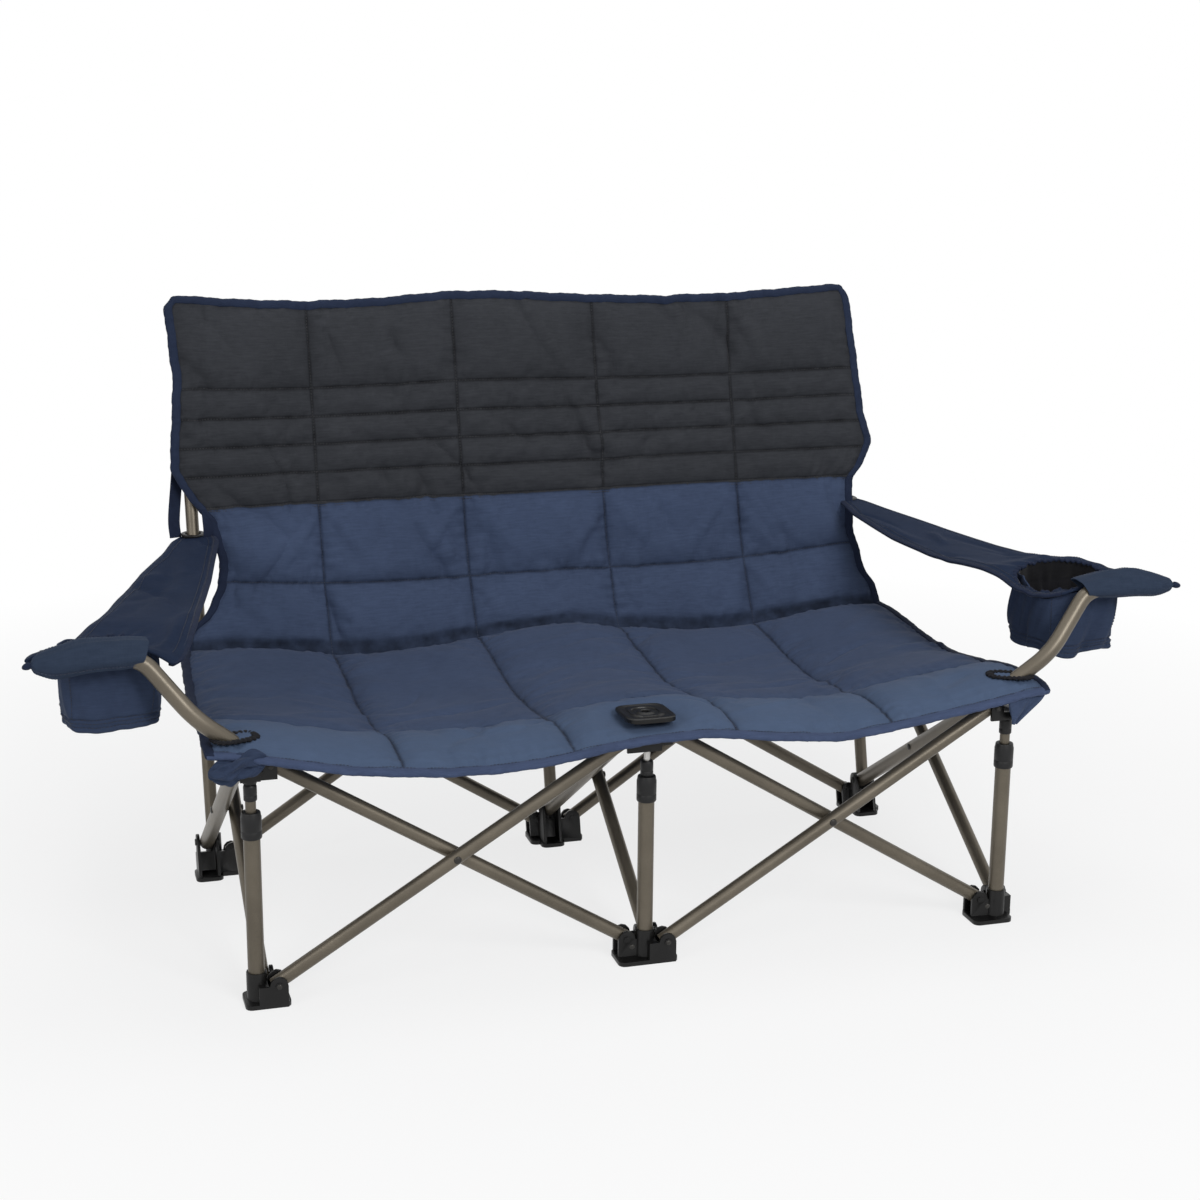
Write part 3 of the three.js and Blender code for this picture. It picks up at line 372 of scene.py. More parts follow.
# ---------------------------------------------------------------- finishes
class Nodes:
    """A tree of shader nodes. An input named i0, i1 and so on is found by its number."""

    def __init__(self, tree):
        self.tree = tree

    def node(self, kind, settings=None, **inputs):
        made = self.tree.nodes.new("ShaderNode" + kind)
        for key, value in (settings or {}).items():
            setattr(made, key, value)
        for key, value in inputs.items():
            socket = made.inputs[int(key[1:]) if key[1:].isdigit() else key.replace("_", " ")]
            if isinstance(value, bpy.types.NodeSocket):
                self.tree.links.new(value, socket)
            else:
                socket.default_value = value
        return made

    def maths(self, operation, a, b):
        return self.node("Math", {"operation": operation, "use_clamp": operation != "SUBTRACT"}, i0=a, i1=b).outputs[0]


class Finish(Nodes):
    """A node material: the shader's constants are set on its own sockets, and patterns are linked to it."""

    def __init__(self, name, roughness, metallic=0.0, specular=0.5, sheen=0.0, coat=0.0):
        self.material = bpy.data.materials.new(name)
        self.material.use_nodes = True
        super().__init__(self.material.node_tree)
        self.shader = self.tree.nodes["Principled BSDF"]
        for socket, value in (("Metallic", metallic), ("Roughness", roughness), ("Specular IOR Level", specular),
                              ("Sheen Weight", sheen), ("Sheen Roughness", 0.45), ("Coat Weight", coat)):
            self.shader.inputs[socket].default_value = value
        self.coordinates = self.node("TexCoord").outputs
        self.place = self.coordinates["Object"]

    def noise(self, where, scale, detail=3.0, rough=0.55, stretch=None):
        if stretch:
            where = self.node("Mapping", Vector=where, Scale=stretch).outputs[0]
        return self.node("TexNoise", Vector=where, Scale=scale, Detail=detail, Roughness=rough).outputs["Fac"]

    def ramp(self, value, low, high):
        """From 0 at low to 1 at high."""
        return self.node("MapRange", Value=value, From_Min=low, From_Max=high).outputs[0]

    def between(self, value, low, high):
        """From low at 0 to high at 1."""
        return self.node("MapRange", Value=value, To_Min=low, To_Max=high).outputs[0]

    def part(self, value, weight):
        return self.maths("MULTIPLY", value, weight)

    def blend(self, factor, a, b):
        mixed = self.node("Mix", {"data_type": "RGBA"}, i0=factor)
        for socket, value in ((mixed.inputs[6], a), (mixed.inputs[7], b)):
            if isinstance(value, bpy.types.NodeSocket):
                self.tree.links.new(value, socket)
            else:
                socket.default_value = (*value, 1)
        return mixed.outputs[2]

    def bump(self, height, strength, distance, under=None):
        made = self.node("Bump", Height=height, Strength=strength, Distance=distance)
        if under is not None:
            self.tree.links.new(under, made.inputs["Normal"])
        return made.outputs[0]

    def use(self, colour=None, normal=None, roughness=None):
        for value, socket in ((colour, "Base Color"), (normal, "Normal"), (roughness, "Roughness")):
            if value is not None:
                self.tree.links.new(value, self.shader.inputs[socket])
        return self.material


def tint(colour, factor, lift=0.0):
    return tuple(factor * channel + lift for channel in colour)


def woven_polyester(name, light, dark, thread=0.0011, sheen=0.04, uv=True):
    """Plain-weave polyester: two crossed sets of threads, uneven weft yarns, slow mottling and faint creases. It is
    darker with painted shade, unevenly, where the mesh's seam attribute is high, and paler with painted light where its
    front-band attribute is."""
    f = Finish(name, 0.84, specular=0.09, sheen=sheen)
    cloth = f.coordinates["UV"] if uv else f.place
    warp, weft = (f.node("TexWave", {"bands_direction": way}, Vector=cloth, Scale=0.314 / thread,
                         Distortion=0.4).outputs["Fac"] for way in ("X", "Y" if uv else "Z"))
    weave = f.maths("MULTIPLY", warp, weft)
    yarn = f.noise(cloth, 1.0, 5.0, 0.72, (38.0, 330.0, 38.0))
    mottle = f.noise(f.place, 7.0, 4.0)
    blotch = f.noise(f.place, 90.0, 3.0)
    tone = f.maths("ADD", f.part(f.ramp(yarn, 0.3, 0.7), 0.4), f.part(weave, 0.2))
    tone = f.maths("ADD", tone, f.part(f.ramp(mottle, 0.3, 0.7), 0.22))
    tone = f.maths("SUBTRACT", tone, f.part(f.ramp(blotch, 0.45, 0.75), 0.12))
    colour = f.blend(tone, dark, light)
    sewn, faded = (f.node("Attribute", {"attribute_name": key}).outputs["Fac"] for key in ("sewn_shade", "faded"))
    # Painted light: the cloth made paler on the seat's front band
    colour = f.blend(f.part(faded, 0.40), colour, tuple(k * c for k, c in zip((1.45, 1.55, 1.40), light)))
    uneven = f.maths("ADD", 0.35, f.part(f.ramp(f.noise(f.place, 34.0, 3.0), 0.3, 0.7), 0.5))
    # Painted shade: the cloth darkened, unevenly, along its seams and at the junction
    colour = f.blend(f.part(sewn, uneven), colour, tint(dark, 0.3))
    rub = f.ramp(f.noise(f.place, 22.0, 5.0), 0.56, 0.75)
    colour = f.blend(f.part(rub, 0.07), colour, tint(light, 1.7, 0.01))
    normal = f.bump(f.noise(f.place, 26.0, 4.0, 0.6), 0.22, 0.005)
    normal = f.bump(f.maths("ADD", weave, yarn), 0.3, 0.0005, normal)
    return f.use(colour, normal, f.between(mottle, 0.72, 0.84))


def thread_finish(name, light, dark):
    """Sewing thread: fine twist lines and small changes of tone."""
    f = Finish(name, 0.6, specular=0.35, sheen=0.1)
    tone = f.noise(f.place, 60.0, 2.0)
    colour = f.blend(f.ramp(tone, 0.3, 0.7), dark, light)
    return f.use(colour, f.bump(f.noise(f.place, 1400.0, 2.0), 0.4, 0.0002), f.between(tone, 0.5, 0.7))


def powder_coat(name, light, dark):
    """Satin metallic powder coat on steel: orange peel, fine flake, handling marks and duller patches."""
    f = Finish(name, 0.4, metallic=0.55, specular=0.42, coat=0.02)
    flake = f.noise(f.place, 2600.0, 1.0)
    cloud = f.noise(f.place, 11.0, 4.0)
    marks = f.ramp(f.noise(f.place, 1.0, 6.0, 0.65, (60.0, 60.0, 420.0)), 0.60, 0.72)
    tone = f.maths("ADD", f.part(f.ramp(flake, 0.35, 0.7), 0.35), f.part(f.ramp(cloud, 0.3, 0.7), 0.5))
    colour = f.blend(f.part(marks, 0.25), f.blend(tone, dark, light), tint(dark, 0.6))
    rough = f.maths("ADD", f.between(cloud, 0.32, 0.46), f.part(marks, 0.12))
    return f.use(colour, f.bump(f.noise(f.place, 520.0, 2.0), 0.12, 0.0003), rough)


def moulded_plastic(name, light, dark, roughness):
    """Moulded plastic: fine spark texture, cloudy tone and scuffs that catch light."""
    f = Finish(name, roughness, specular=0.28)
    cloud = f.noise(f.place, 30.0, 4.0)
    scuff = f.ramp(f.noise(f.place, 1.0, 5.0, 0.7, (300.0, 80.0, 160.0)), 0.60, 0.74)
    colour = f.blend(f.ramp(cloud, 0.3, 0.7), dark, light)
    colour = f.blend(f.part(scuff, 0.3), colour, tint(light, 2.0, 0.006))
    rough = f.maths("ADD", f.between(cloud, roughness - 0.07, roughness + 0.08), f.part(scuff, 0.15))
    return f.use(colour, f.bump(f.noise(f.place, 900.0, 3.0), 0.18, 0.0003), rough)


def zinc_plate(name):
    """Bright zinc plate: fine drawing lines and a cloudy bloom."""
    f = Finish(name, 0.3, metallic=0.95)
    lines = f.noise(f.place, 1.0, 3.0, 0.6, (900.0, 900.0, 60.0))
    bloom = f.noise(f.place, 70.0, 4.0)
    colour = f.blend(f.ramp(bloom, 0.35, 0.7), (0.42, 0.41, 0.39), (0.60, 0.59, 0.57))
    return f.use(colour, f.bump(lines, 0.15, 0.0002), f.between(bloom, 0.24, 0.42))


navy = woven_polyester("navy quilted cloth", (0.072, 0.102, 0.182), (0.038, 0.054, 0.100))
# A darker copy of the navy cloth, painted shade on the pouches and the corner bunch
pouch_navy_painted_shade = woven_polyester("navy pouch cloth", (0.046, 0.067, 0.124), (0.024, 0.035, 0.067))
# A darker copy of the navy cloth, painted shade on the armrests
armrest_navy_painted_shade = woven_polyester("navy armrest cloth", (0.022, 0.035, 0.073), (0.010, 0.017, 0.037), sheen=0.0)
charcoal = woven_polyester("charcoal quilted cloth", (0.058, 0.061, 0.070), (0.027, 0.029, 0.034), sheen=0.03)
slate = woven_polyester("slate sleeve cloth", (0.042, 0.060, 0.099), (0.021, 0.032, 0.057), thread=0.0016, sheen=0.0)
tape = woven_polyester("navy binding tape", (0.030, 0.043, 0.084), (0.015, 0.022, 0.045), thread=0.0014, uv=False)
# A lighter copy of the navy cloth, painted light on the seat's front hem
hem_navy_painted_light = woven_polyester("navy hem cloth", (0.080, 0.111, 0.205), (0.042, 0.059, 0.113), uv=False)
dark_tape = woven_polyester("dark navy binding tape", (0.022, 0.032, 0.066), (0.012, 0.017, 0.036), thread=0.0014,
                            uv=False)
lining = woven_polyester("black pouch lining", (0.022, 0.022, 0.026), (0.009, 0.009, 0.011), sheen=0.2)
webbing = woven_polyester("black webbing", (0.020, 0.020, 0.024), (0.008, 0.008, 0.010), thread=0.0018, uv=False)
navy_thread = thread_finish("navy thread", (0.030, 0.042, 0.080), (0.014, 0.020, 0.042))
dark_thread = thread_finish("dark navy thread", (0.014, 0.020, 0.040), (0.007, 0.010, 0.021))
charcoal_thread = thread_finish("charcoal thread", (0.028, 0.029, 0.033), (0.012, 0.012, 0.015))
bronze = powder_coat("bronze powder coat", (0.186, 0.160, 0.122), (0.090, 0.077, 0.058))
black = moulded_plastic("black moulded plastic", (0.0070, 0.0068, 0.0068), (0.0035, 0.0034, 0.0034), 0.36)
collar_grey = moulded_plastic("dark grey collar plastic", (0.0125, 0.0125, 0.0132), (0.007, 0.007, 0.0075), 0.45)
blackened = powder_coat("blackened rivet steel", (0.050, 0.047, 0.043), (0.022, 0.021, 0.019))
zinc = zinc_plate("bright zinc plate")


def stand_for(piece, node):
    """The piece takes the place of the node, which is hidden, and rides on the node's body."""
    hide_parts(node)
    attach(piece, body_of(frame["nodes"][node])[0])


def attach(piece, body):
    """The piece rides on a body."""
    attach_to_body(piece, body)


# ---------------------------------------------------------------- frame
span = BAY - 2 * PIN
rise = 0.295
rest_angle = math.atan2(rise, span)
half_tube = math.hypot(rise, span) / 2
reach_sum = rise * math.cos(LEAN) / math.sin(rest_angle)
reach_difference = rise * math.sin(LEAN) / math.cos(rest_angle)
up = np.array([0.0, 0.0, 1.0])
lean_up = np.array([0, math.sin(LEAN), math.cos(LEAN)])
lean_back = np.array([0, math.cos(LEAN), -math.sin(LEAN)])
side_run = np.array([0, math.cos(rest_angle), math.sin(rest_angle)])
arm_run = np.array([0, -math.cos(rest_angle), math.sin(rest_angle)])
side_foot = np.array([0, PIN, PIN])
side_hub = np.array([0, PIN, 0.321])
side_crossing = side_foot + half_tube * side_run
side_slider = side_crossing + (reach_sum + reach_difference) / 2 * side_run
side_rear_foot = side_crossing - (reach_sum - reach_difference) / 2 * arm_run
beside = side_rear_foot + PIN * lean_back
rear_base = beside - (beside[2] - FOOT_PIN) / lean_up[2] * lean_up
upright_low = rear_base + (0.0103 - rear_base[2]) / lean_up[2] * lean_up
upright_top = upright_low + 0.842 * lean_up


def straight(start, end, extra=0.007):
    """Points along a straight tube, which runs a little past its end pins."""
    way = unit(end - start)
    return np.linspace(start - extra * way, end + extra * way, 9)


def at_x(point, x):
    return np.array([x, *point[1:]])


def rivet(centre, axis, low, high):
    """A shank with a domed head at each end, 0.3 mm off what it holds."""
    low, high = low - 0.0003, high + 0.0003
    dome = [(0.00525 * math.sin(t), 0.0019 * math.cos(t)) for t in np.linspace(0, np.pi / 2, 5)]
    top = [(out, high + height) for out, height in dome]
    bottom = [(out, low - height) for out, height in dome[::-1]]
    return turned([*top, (0.0025, high), (0.0025, low), *bottom], centre, axis, sides=20)


def cross_plane(prefix, base, plane_up, plane_back):
    """The two crossing pairs of tubes across the width, with their rivets."""
    half = 0.0105
    ends = {
        "left_outer": ("left", 1, "centre", -1, -half), "left_inner": ("centre", -1, "left", 1, half),
        "right_inner": ("centre", 1, "right", -1, -half), "right_outer": ("right", -1, "centre", 1, half),
    }
    for name, (low_side, low_way, high_side, high_way, shift) in ends.items():
        low = at_x(base, SIDES[low_side] + low_way * PIN) + shift * plane_back
        high = at_x(base, SIDES[high_side] + high_way * PIN) + shift * plane_back + rise * plane_up
        node = f"{prefix}_cross_{name}"
        stand_for(pipe(node + "_tube", straight(low, high), TUBE, bronze), node)
    for side, x in (("left", -BAY / 2), ("right", BAY / 2)):
        centre = at_x(base, x) + rise / 2 * plane_up
        node = f"{prefix}_rivet_{side}"
        stand_for(put_solid(node + "_domed", [rivet(centre, plane_back, -0.020, 0.020)], blackened), node)


cross_plane("front", np.array([0, 0, FOOT_PIN]), up, np.array([0, 1.0, 0]))
cross_plane("rear", rear_base, lean_up, lean_back)


def arm_path(side):
    """Arm tube from its rear foot up to the hub, then through its bends: straight runs joined by parabolas."""
    x = SIDES[side] - 0.0115
    out = math.copysign(1, x)
    corner = side_hub + 0.016 * arm_run
    corners = [at_x(side_rear_foot - 0.007 * arm_run, x), at_x(corner, x)]
    for o, b, u in ((0.0140, -0.0170, 0.0310), (0.0640, -0.0260, 0.0710), (0.128, -0.003, 0.152),
                    (0.238, -0.0106, 0.1529)):
        corners.append(np.array([SIDES[side] + out * o, side_hub[1] + b, side_hub[2] + u]))
    corners = np.array(corners)
    path = [np.linspace(corners[0], corners[1], 12)[:-1]]
    for i, leg in enumerate((0.013, 0.014, 0.027, 0.024), start=1):
        before = corners[i] - leg * unit(corners[i] - corners[i - 1])
        after = corners[i] + leg * unit(corners[i + 1] - corners[i])
        t = np.linspace(0, 1, 11)[:, None]
        path.append((1 - t) ** 2 * before + 2 * t * (1 - t) * corners[i] + t ** 2 * after)
    path.append(corners[-1][None])
    path = np.vstack(path)
    keep = np.concatenate([[True], np.linalg.norm(np.diff(path, axis=0), axis=1) > 1e-4])
    return path[keep]


for side, x in SIDES.items():
    tube = straight(at_x(side_foot, x + 0.010), at_x(side_slider, x + 0.010))
    stand_for(pipe(f"side_tube_{side}_tube", tube, TUBE, bronze), f"side_tube_{side}")
    if side == "centre":
        tube = straight(at_x(side_rear_foot, x - 0.0105), at_x(side_hub, x - 0.0105))
        stand_for(pipe("hub_tube_tube", tube, TUBE, bronze), "hub_tube_centre")
        low, high = -0.020, 0.0195
    else:
        stand_for(pipe(f"arm_tube_{side}_bent", arm_path(side), ARM_TUBE, bronze), f"arm_tube_{side}")
        low, high = -0.0225, 0.0195
    centre = at_x(side_crossing, x)
    node = f"side_rivet_{side}"
    stand_for(put_solid(node + "_domed", [rivet(centre, np.array([1.0, 0, 0]), low, high)], blackened), node)
    foot = np.linspace(at_x(upright_low, x), at_x(upright_top, x), 9)
    stand_for(pipe(f"back_upright_{side}_tube", foot, TUBE, bronze), f"back_upright_{side}")
    post = np.linspace([x, 0, 0.0103], [x, 0, 0.262], 7)
    stand_for(pipe(f"front_post_{side}_tube", post, POST, bronze), f"front_post_{side}")

# How far the middle tube is drawn out of each post, and the outlines of the clamp collars and of the hub's rod. The
# post collar has a shoulder, a waist groove and a stepped cap
DRAWN_OUT = {"left": 0.016, "centre": 0.0008, "right": 0.015}
POST_COLLAR = [
    (0.0113, 0.2292), (0.0129, 0.2288), (0.0135, 0.2300), (0.0135, 0.2385), (0.0131, 0.2391), (0.0131, 0.2397),
    (0.0135, 0.2403), (0.0135, 0.2575), (0.0129, 0.2592), (0.0125, 0.2628), (0.0119, 0.2641), (0.0077, 0.2643),
    (0.0073, 0.2638), (0.0073, 0.2622), (0.0113, 0.2622)]
MIDDLE_COLLAR = [
    (0.0073, 0.0), (0.0083, -0.0003), (0.00875, 0.0006), (0.00875, 0.0062), (0.0084, 0.0067), (0.0084, 0.0073),
    (0.00875, 0.0078), (0.00875, 0.0182), (0.0081, 0.0202), (0.0073, 0.0209), (0.0049, 0.0210), (0.0046, 0.0205),
    (0.0046, 0.0196), (0.0073, 0.0194)]
HUB_ROD = [(0, 0.0652), (0.0036, 0.0652), (0.00425, 0.0660), (0.00425, 0.3104), (0.0036, 0.3112), (0, 0.3112)]
for side, x in SIDES.items():
    collar_low = 0.2642 + DRAWN_OUT[side]
    tube_top = collar_low + 0.0195
    middle = np.linspace([x, 0, tube_top - 0.2053], [x, 0, tube_top - 0.0003], 7)
    stand_for(pipe(f"middle_tube_{side}_tube", middle, MIDDLE_TUBE, bronze), f"middle_tube_{side}")
    middle_collar = [(radius, collar_low + height) for radius, height in MIDDLE_COLLAR]
    for node, form, outline, sides, finish in (("post_collar", "clamp", POST_COLLAR, 40, collar_grey),
                                               ("middle_collar", "clamp", middle_collar, 40, collar_grey),
                                               ("hub_rod", "rod", HUB_ROD, 24, zinc)):
        shape = turned(outline, np.array([x, 0, 0]), up, sides)
        stand_for(put_solid(f"{node}_{side}_{form}", [shape], finish), f"{node}_{side}")
    for node in (f"front_foot_{side}", f"front_hub_{side}", f"rear_foot_{side}", f"rear_slider_{side}"):
        stand_for(eased_copy(node, black), node)


# ---------------------------------------------------------------- quilted sling
STEP, COARSE_STEP = 0.0042, 0.0088  # grids of the render and of the cloth simulation
OUTER_SEAM = SEAMS[-1]
BACK_HALF, BACK_LOW, BORDER, BACK_HIGH = 0.552, 0.311, 0.531, 0.838
BACK_SEAMS = np.array([0.409, BORDER, 0.577, 0.619, 0.661, 0.705])
SEAT_HALF, SEAT_RUN, SEAT_BAND = 0.586, 0.55, 0.30  # the band's seam, as a share of the run
HALF_CLOTH = 0.0016
SPARE, MOST_SWELL = 0.024, 0.0090  # share of spare cloth, and how far the simulation may move it


def places(stops, step, sewn, run=1.0):
    """Even places through the stops, about step apart, where stops are shares of run. The render's grid has two
    more close beside each sewn line."""
    gap = step / run
    even = [np.linspace(a, b, max(2, int(round((b - a) / gap)) + 1)) for a, b in zip(stops[:-1], stops[1:])]
    beside = [stop + way * 0.35 * gap for stop in sewn for way in (-1, 1)] if step == STEP else []
    return np.unique(np.concatenate([*even, beside]))


def columns(half, step):
    """Column places across the cloth, with one on each seam and each split."""
    return places(np.sort([-half, *SEAMS, *SEAT_SPLITS, half]), step, SEAMS)


def surface_normals(grid):
    """Unit normals of a grid of points, from the cross product of its two gradients."""
    return unit(np.cross(np.gradient(grid, axis=1), np.gradient(grid, axis=0)))


def ridge(x, y, cx, cy, turn, run, width, bend=0.0):
    """A fold of height 1: a bell across it and a flat-topped bell along it."""
    along = (x - cx) * math.cos(turn) + (y - cy) * math.sin(turn)
    across = -(x - cx) * math.sin(turn) + (y - cy) * math.cos(turn) + 12 * along ** 2 * bend
    return np.exp(-(across / width) ** 2 - (along / run) ** 4)


def creases(x, y, number, size, length, box, seed, angle):
    """Soft folds at seeded places in a box, running about one way."""
    some = np.random.default_rng(seed)
    height = np.zeros_like(x)
    for _ in range(number):
        cx, cy = some.uniform(box[0], box[1]), some.uniform(box[2], box[3])
        turn, run = some.normal(angle, 0.35), some.uniform(*length)
        width, bend = some.uniform(0.006, 0.015), some.uniform(-0.3, 0.3)
        height += some.uniform(-1, 1) * size * ridge(x, y, cx, cy, turn, run, width, bend)
    return height


def quilting(x, run, seam_run, height, seed, margin=0.0105):
    """Padding height: from each seam it rises in two steps, 55% with 1 - exp(-distance / 5 mm) and the rest with
    1 - exp(-distance / 26 mm). The hem is flat, and short puckers cross every seam."""
    hem = np.minimum(np.abs(x - x.min()), np.abs(x - x.max()))
    hem = np.maximum(0, np.minimum(hem, np.minimum(np.abs(run - run.min()), np.abs(run - run.max()))) - margin)
    to_column = np.minimum(to_nearest(x, SEAMS), hem)
    to_row = np.minimum(to_nearest(run, seam_run), hem)
    rise_of = lambda d: 0.55 * (1 - np.exp(-d / 0.005)) + 0.45 * (1 - np.exp(-d / 0.026))
    puff = height * rise_of(to_column) * rise_of(to_row)
    some = np.random.default_rng(seed)
    wobble = sum(np.sin(2 * np.pi * (x * a + run * b) + c) for a, b, c in some.uniform(1, 9, (6, 3))) * 0.35
    gather = np.sin(2 * np.pi * run / 0.0175 + 3.5 * wobble) * np.exp(-to_column / 0.016)
    gather += np.sin(2 * np.pi * x / 0.0190 + 3.5 * wobble) * np.exp(-to_row / 0.015)
    depth = np.clip(0.5 + 0.7 * np.sin(4.3 * wobble), 0.05, 1.2)
    return puff + 0.0020 * gather * depth * (1 - np.exp(-np.minimum(to_column, to_row) / 0.002))


def to_nearest(values, lines):
    """Distance from each value to the nearest of the lines."""
    return np.min(np.abs(values[..., None] - lines), axis=-1)


def resample(values, rows, across, new_rows, new_across):
    """Values on one grid taken to a finer one by straight lines, first down the rows and then along them, and
    averaged a little with their neighbours."""
    i = np.clip(np.searchsorted(rows, new_rows, "right") - 1, 0, len(rows) - 2)
    t = ((new_rows - rows[i]) / (rows[i + 1] - rows[i]))[:, None, None]
    values = values[i] * (1 - t) + values[i + 1] * t
    j = np.clip(np.searchsorted(across, new_across, "right") - 1, 0, len(across) - 2)
    t = ((new_across - across[j]) / (across[j + 1] - across[j]))[None, :, None]
    values = values[:, j] * (1 - t) + values[:, j + 1] * t
    for axis in (0, 1):
        wide = np.pad(values, [(1, 1) if k == axis else (0, 0) for k in range(3)], mode="edge")
        low, here, high = (np.take(wide, range(a, a + values.shape[axis]), axis=axis) for a in range(3))
        values = 0.25 * low + 0.5 * here + 0.25 * high
    return values


def settle(middle, sewn, seed):
    """Cloth simulation of a filled panel. Its sewn lines and hems hold still while the two layers, cut a little
    larger than the frame allows, swell and crumple between them. Gives each layer's movement."""
    normal = surface_normals(middle)
    start = np.random.default_rng(seed).normal(0, 0.0003, middle.shape[:2])[..., None] * normal
    layers = middle + normal * 0.0028 + start, middle - normal * 0.0028 + start
    points, faces = slab(*layers)
    obj = put_mesh("settling", points, faces, navy)
    group = obj.vertex_groups.new(name="sewn")
    held = np.flatnonzero(np.concatenate([sewn.ravel(), sewn.ravel()]))
    group.add(held.tolist(), 1.0, "REPLACE")
    cloth = obj.modifiers.new("cloth", "CLOTH")
    for setting, value in {
            "quality": 5, "mass": 0.004, "tension_stiffness": 12, "compression_stiffness": 12, "shear_stiffness": 4,
            "bending_stiffness": 0.02, "air_damping": 2, "use_pressure": True, "uniform_pressure_force": 4,
            "shrink_min": -SPARE, "vertex_group_mass": "sewn"}.items():
        setattr(cloth.settings, setting, value)
    cloth.settings.effector_weights.gravity = 0
    cloth.point_cache.frame_start, cloth.point_cache.frame_end = 1, 20
    for moment in range(1, 21):
        bpy.context.scene.frame_set(moment)
    still = obj.evaluated_get(bpy.context.evaluated_depsgraph_get())
    found = np.empty(len(points) * 3)
    still.data.vertices.foreach_get("co", found)
    moved = found.reshape(2, *middle.shape) - [0, POST_LINE, 0] - np.stack(layers)
    bpy.data.objects.remove(obj)
    bpy.context.scene.frame_set(1)
    length = np.linalg.norm(moved, axis=-1, keepdims=True)
    moved *= np.tanh(length / MOST_SWELL) * MOST_SWELL / np.maximum(length, 1e-9)
    return moved[0], moved[1]


def layer_moves(make_grid, seam_rows, hem_rows, seed, fine_rows, fine_columns):
    """The two layers' movements from the simulation on the coarse grid, taken to the fine one."""
    middle, across, rows = make_grid(COARSE_STEP)
    column, line = to_nearest(across, SEAMS) < 0.001, to_nearest(rows, seam_rows) < 0.001
    column[:2] = column[-2:] = True
    line[:1] = line[-hem_rows:] = True
    moves = settle(middle, column[None] | line[:, None], seed)
    return [resample(move, rows, across, fine_rows, fine_columns) for move in moves]


def junction(x):
    """Where seat and backrest meet: level between the posts, turning back and up at the corners."""
    outer = np.clip((np.abs(x) - 0.50) / 0.059, 0, 1)
    z = 0.3235 + 0.0115 * np.cos(2 * np.pi * x / BAY)
    return 0.503 + 0.009 * outer ** 2, z + 0.004 * np.exp(-((x - 0.035) / 0.03) ** 2)


def widened(x, half, edge):
    """x with the cloth beyond its outer seams stretched, so that half comes to edge."""
    past = np.sign(x) * (OUTER_SEAM + (np.abs(x) - OUTER_SEAM) / (half - OUTER_SEAM) * (edge - OUTER_SEAM))
    return np.where(np.abs(x) > OUTER_SEAM, past, x)


# Folds that run down into the navy cells from the seams' crossings, drawn by the sitters' weight: each one's middle,
# direction, half-length, half-width and height
PULLS = [(seam + way * away, 0.484 - 0.012 * k, math.pi / 2 + way * (0.55 + 0.12 * k), 0.042, 0.0075,
          0.0030 + 0.0009 * k)
         for seam, away in zip(SEAMS, (0.040, 0.052, 0.036, 0.058)) for k, way in enumerate((1, -1))]
PULLS += [(seam + 0.03, 0.375, math.pi / 2 + 0.5, 0.030, 0.0080, 0.0036) for seam in SEAMS]
# The backrest's side edges and top edge: heights with their half-widths, and places across with their heights
BACK_EDGE = {
    "left": ([0.311, 0.345, 0.366, 0.400, 0.455, 0.515, 0.545, 0.590, 0.720, 0.824, 0.838],
             [0.559, 0.552, 0.522, 0.498, 0.493, 0.507, 0.532, 0.557, 0.544, 0.551, 0.538]),
    "right": ([0.311, 0.348, 0.372, 0.430, 0.491, 0.528, 0.550, 0.583, 0.633, 0.824, 0.838],
              [0.559, 0.556, 0.541, 0.531, 0.532, 0.536, 0.556, 0.574, 0.563, 0.549, 0.536])}
TOP_EDGE = ([-0.552, -0.54, -0.432, -0.343, -0.233, -0.117, -0.026, 0.10, 0.228, 0.357, 0.535, 0.552],
            [0.840, 0.842, 0.832, 0.827, 0.828, 0.837, 0.836, 0.827, 0.821, 0.823, 0.834, 0.829])
FRONT_EDGE = ([-0.590, -0.545, -0.482, -0.400, -0.290, -0.210, -0.140, -0.075, -0.020, 0.078, 0.150, 0.265, 0.350,
               0.443, 0.540, 0.575],
              [0.349, 0.347, 0.337, 0.322, 0.308, 0.307, 0.314, 0.324, 0.329, 0.331, 0.322, 0.310, 0.318,
               0.332, 0.344, 0.343])


def before_uprights(z):
    """The line of the uprights less 14.8 mm, and less 42 mm * exp(-(z - 325 mm) / 60 mm)."""
    line = rear_base[1] + (z - FOOT_PIN) * math.tan(LEAN)
    return line - 0.0143 / math.cos(LEAN) - 0.042 * np.exp((0.325 - z) / 0.060)


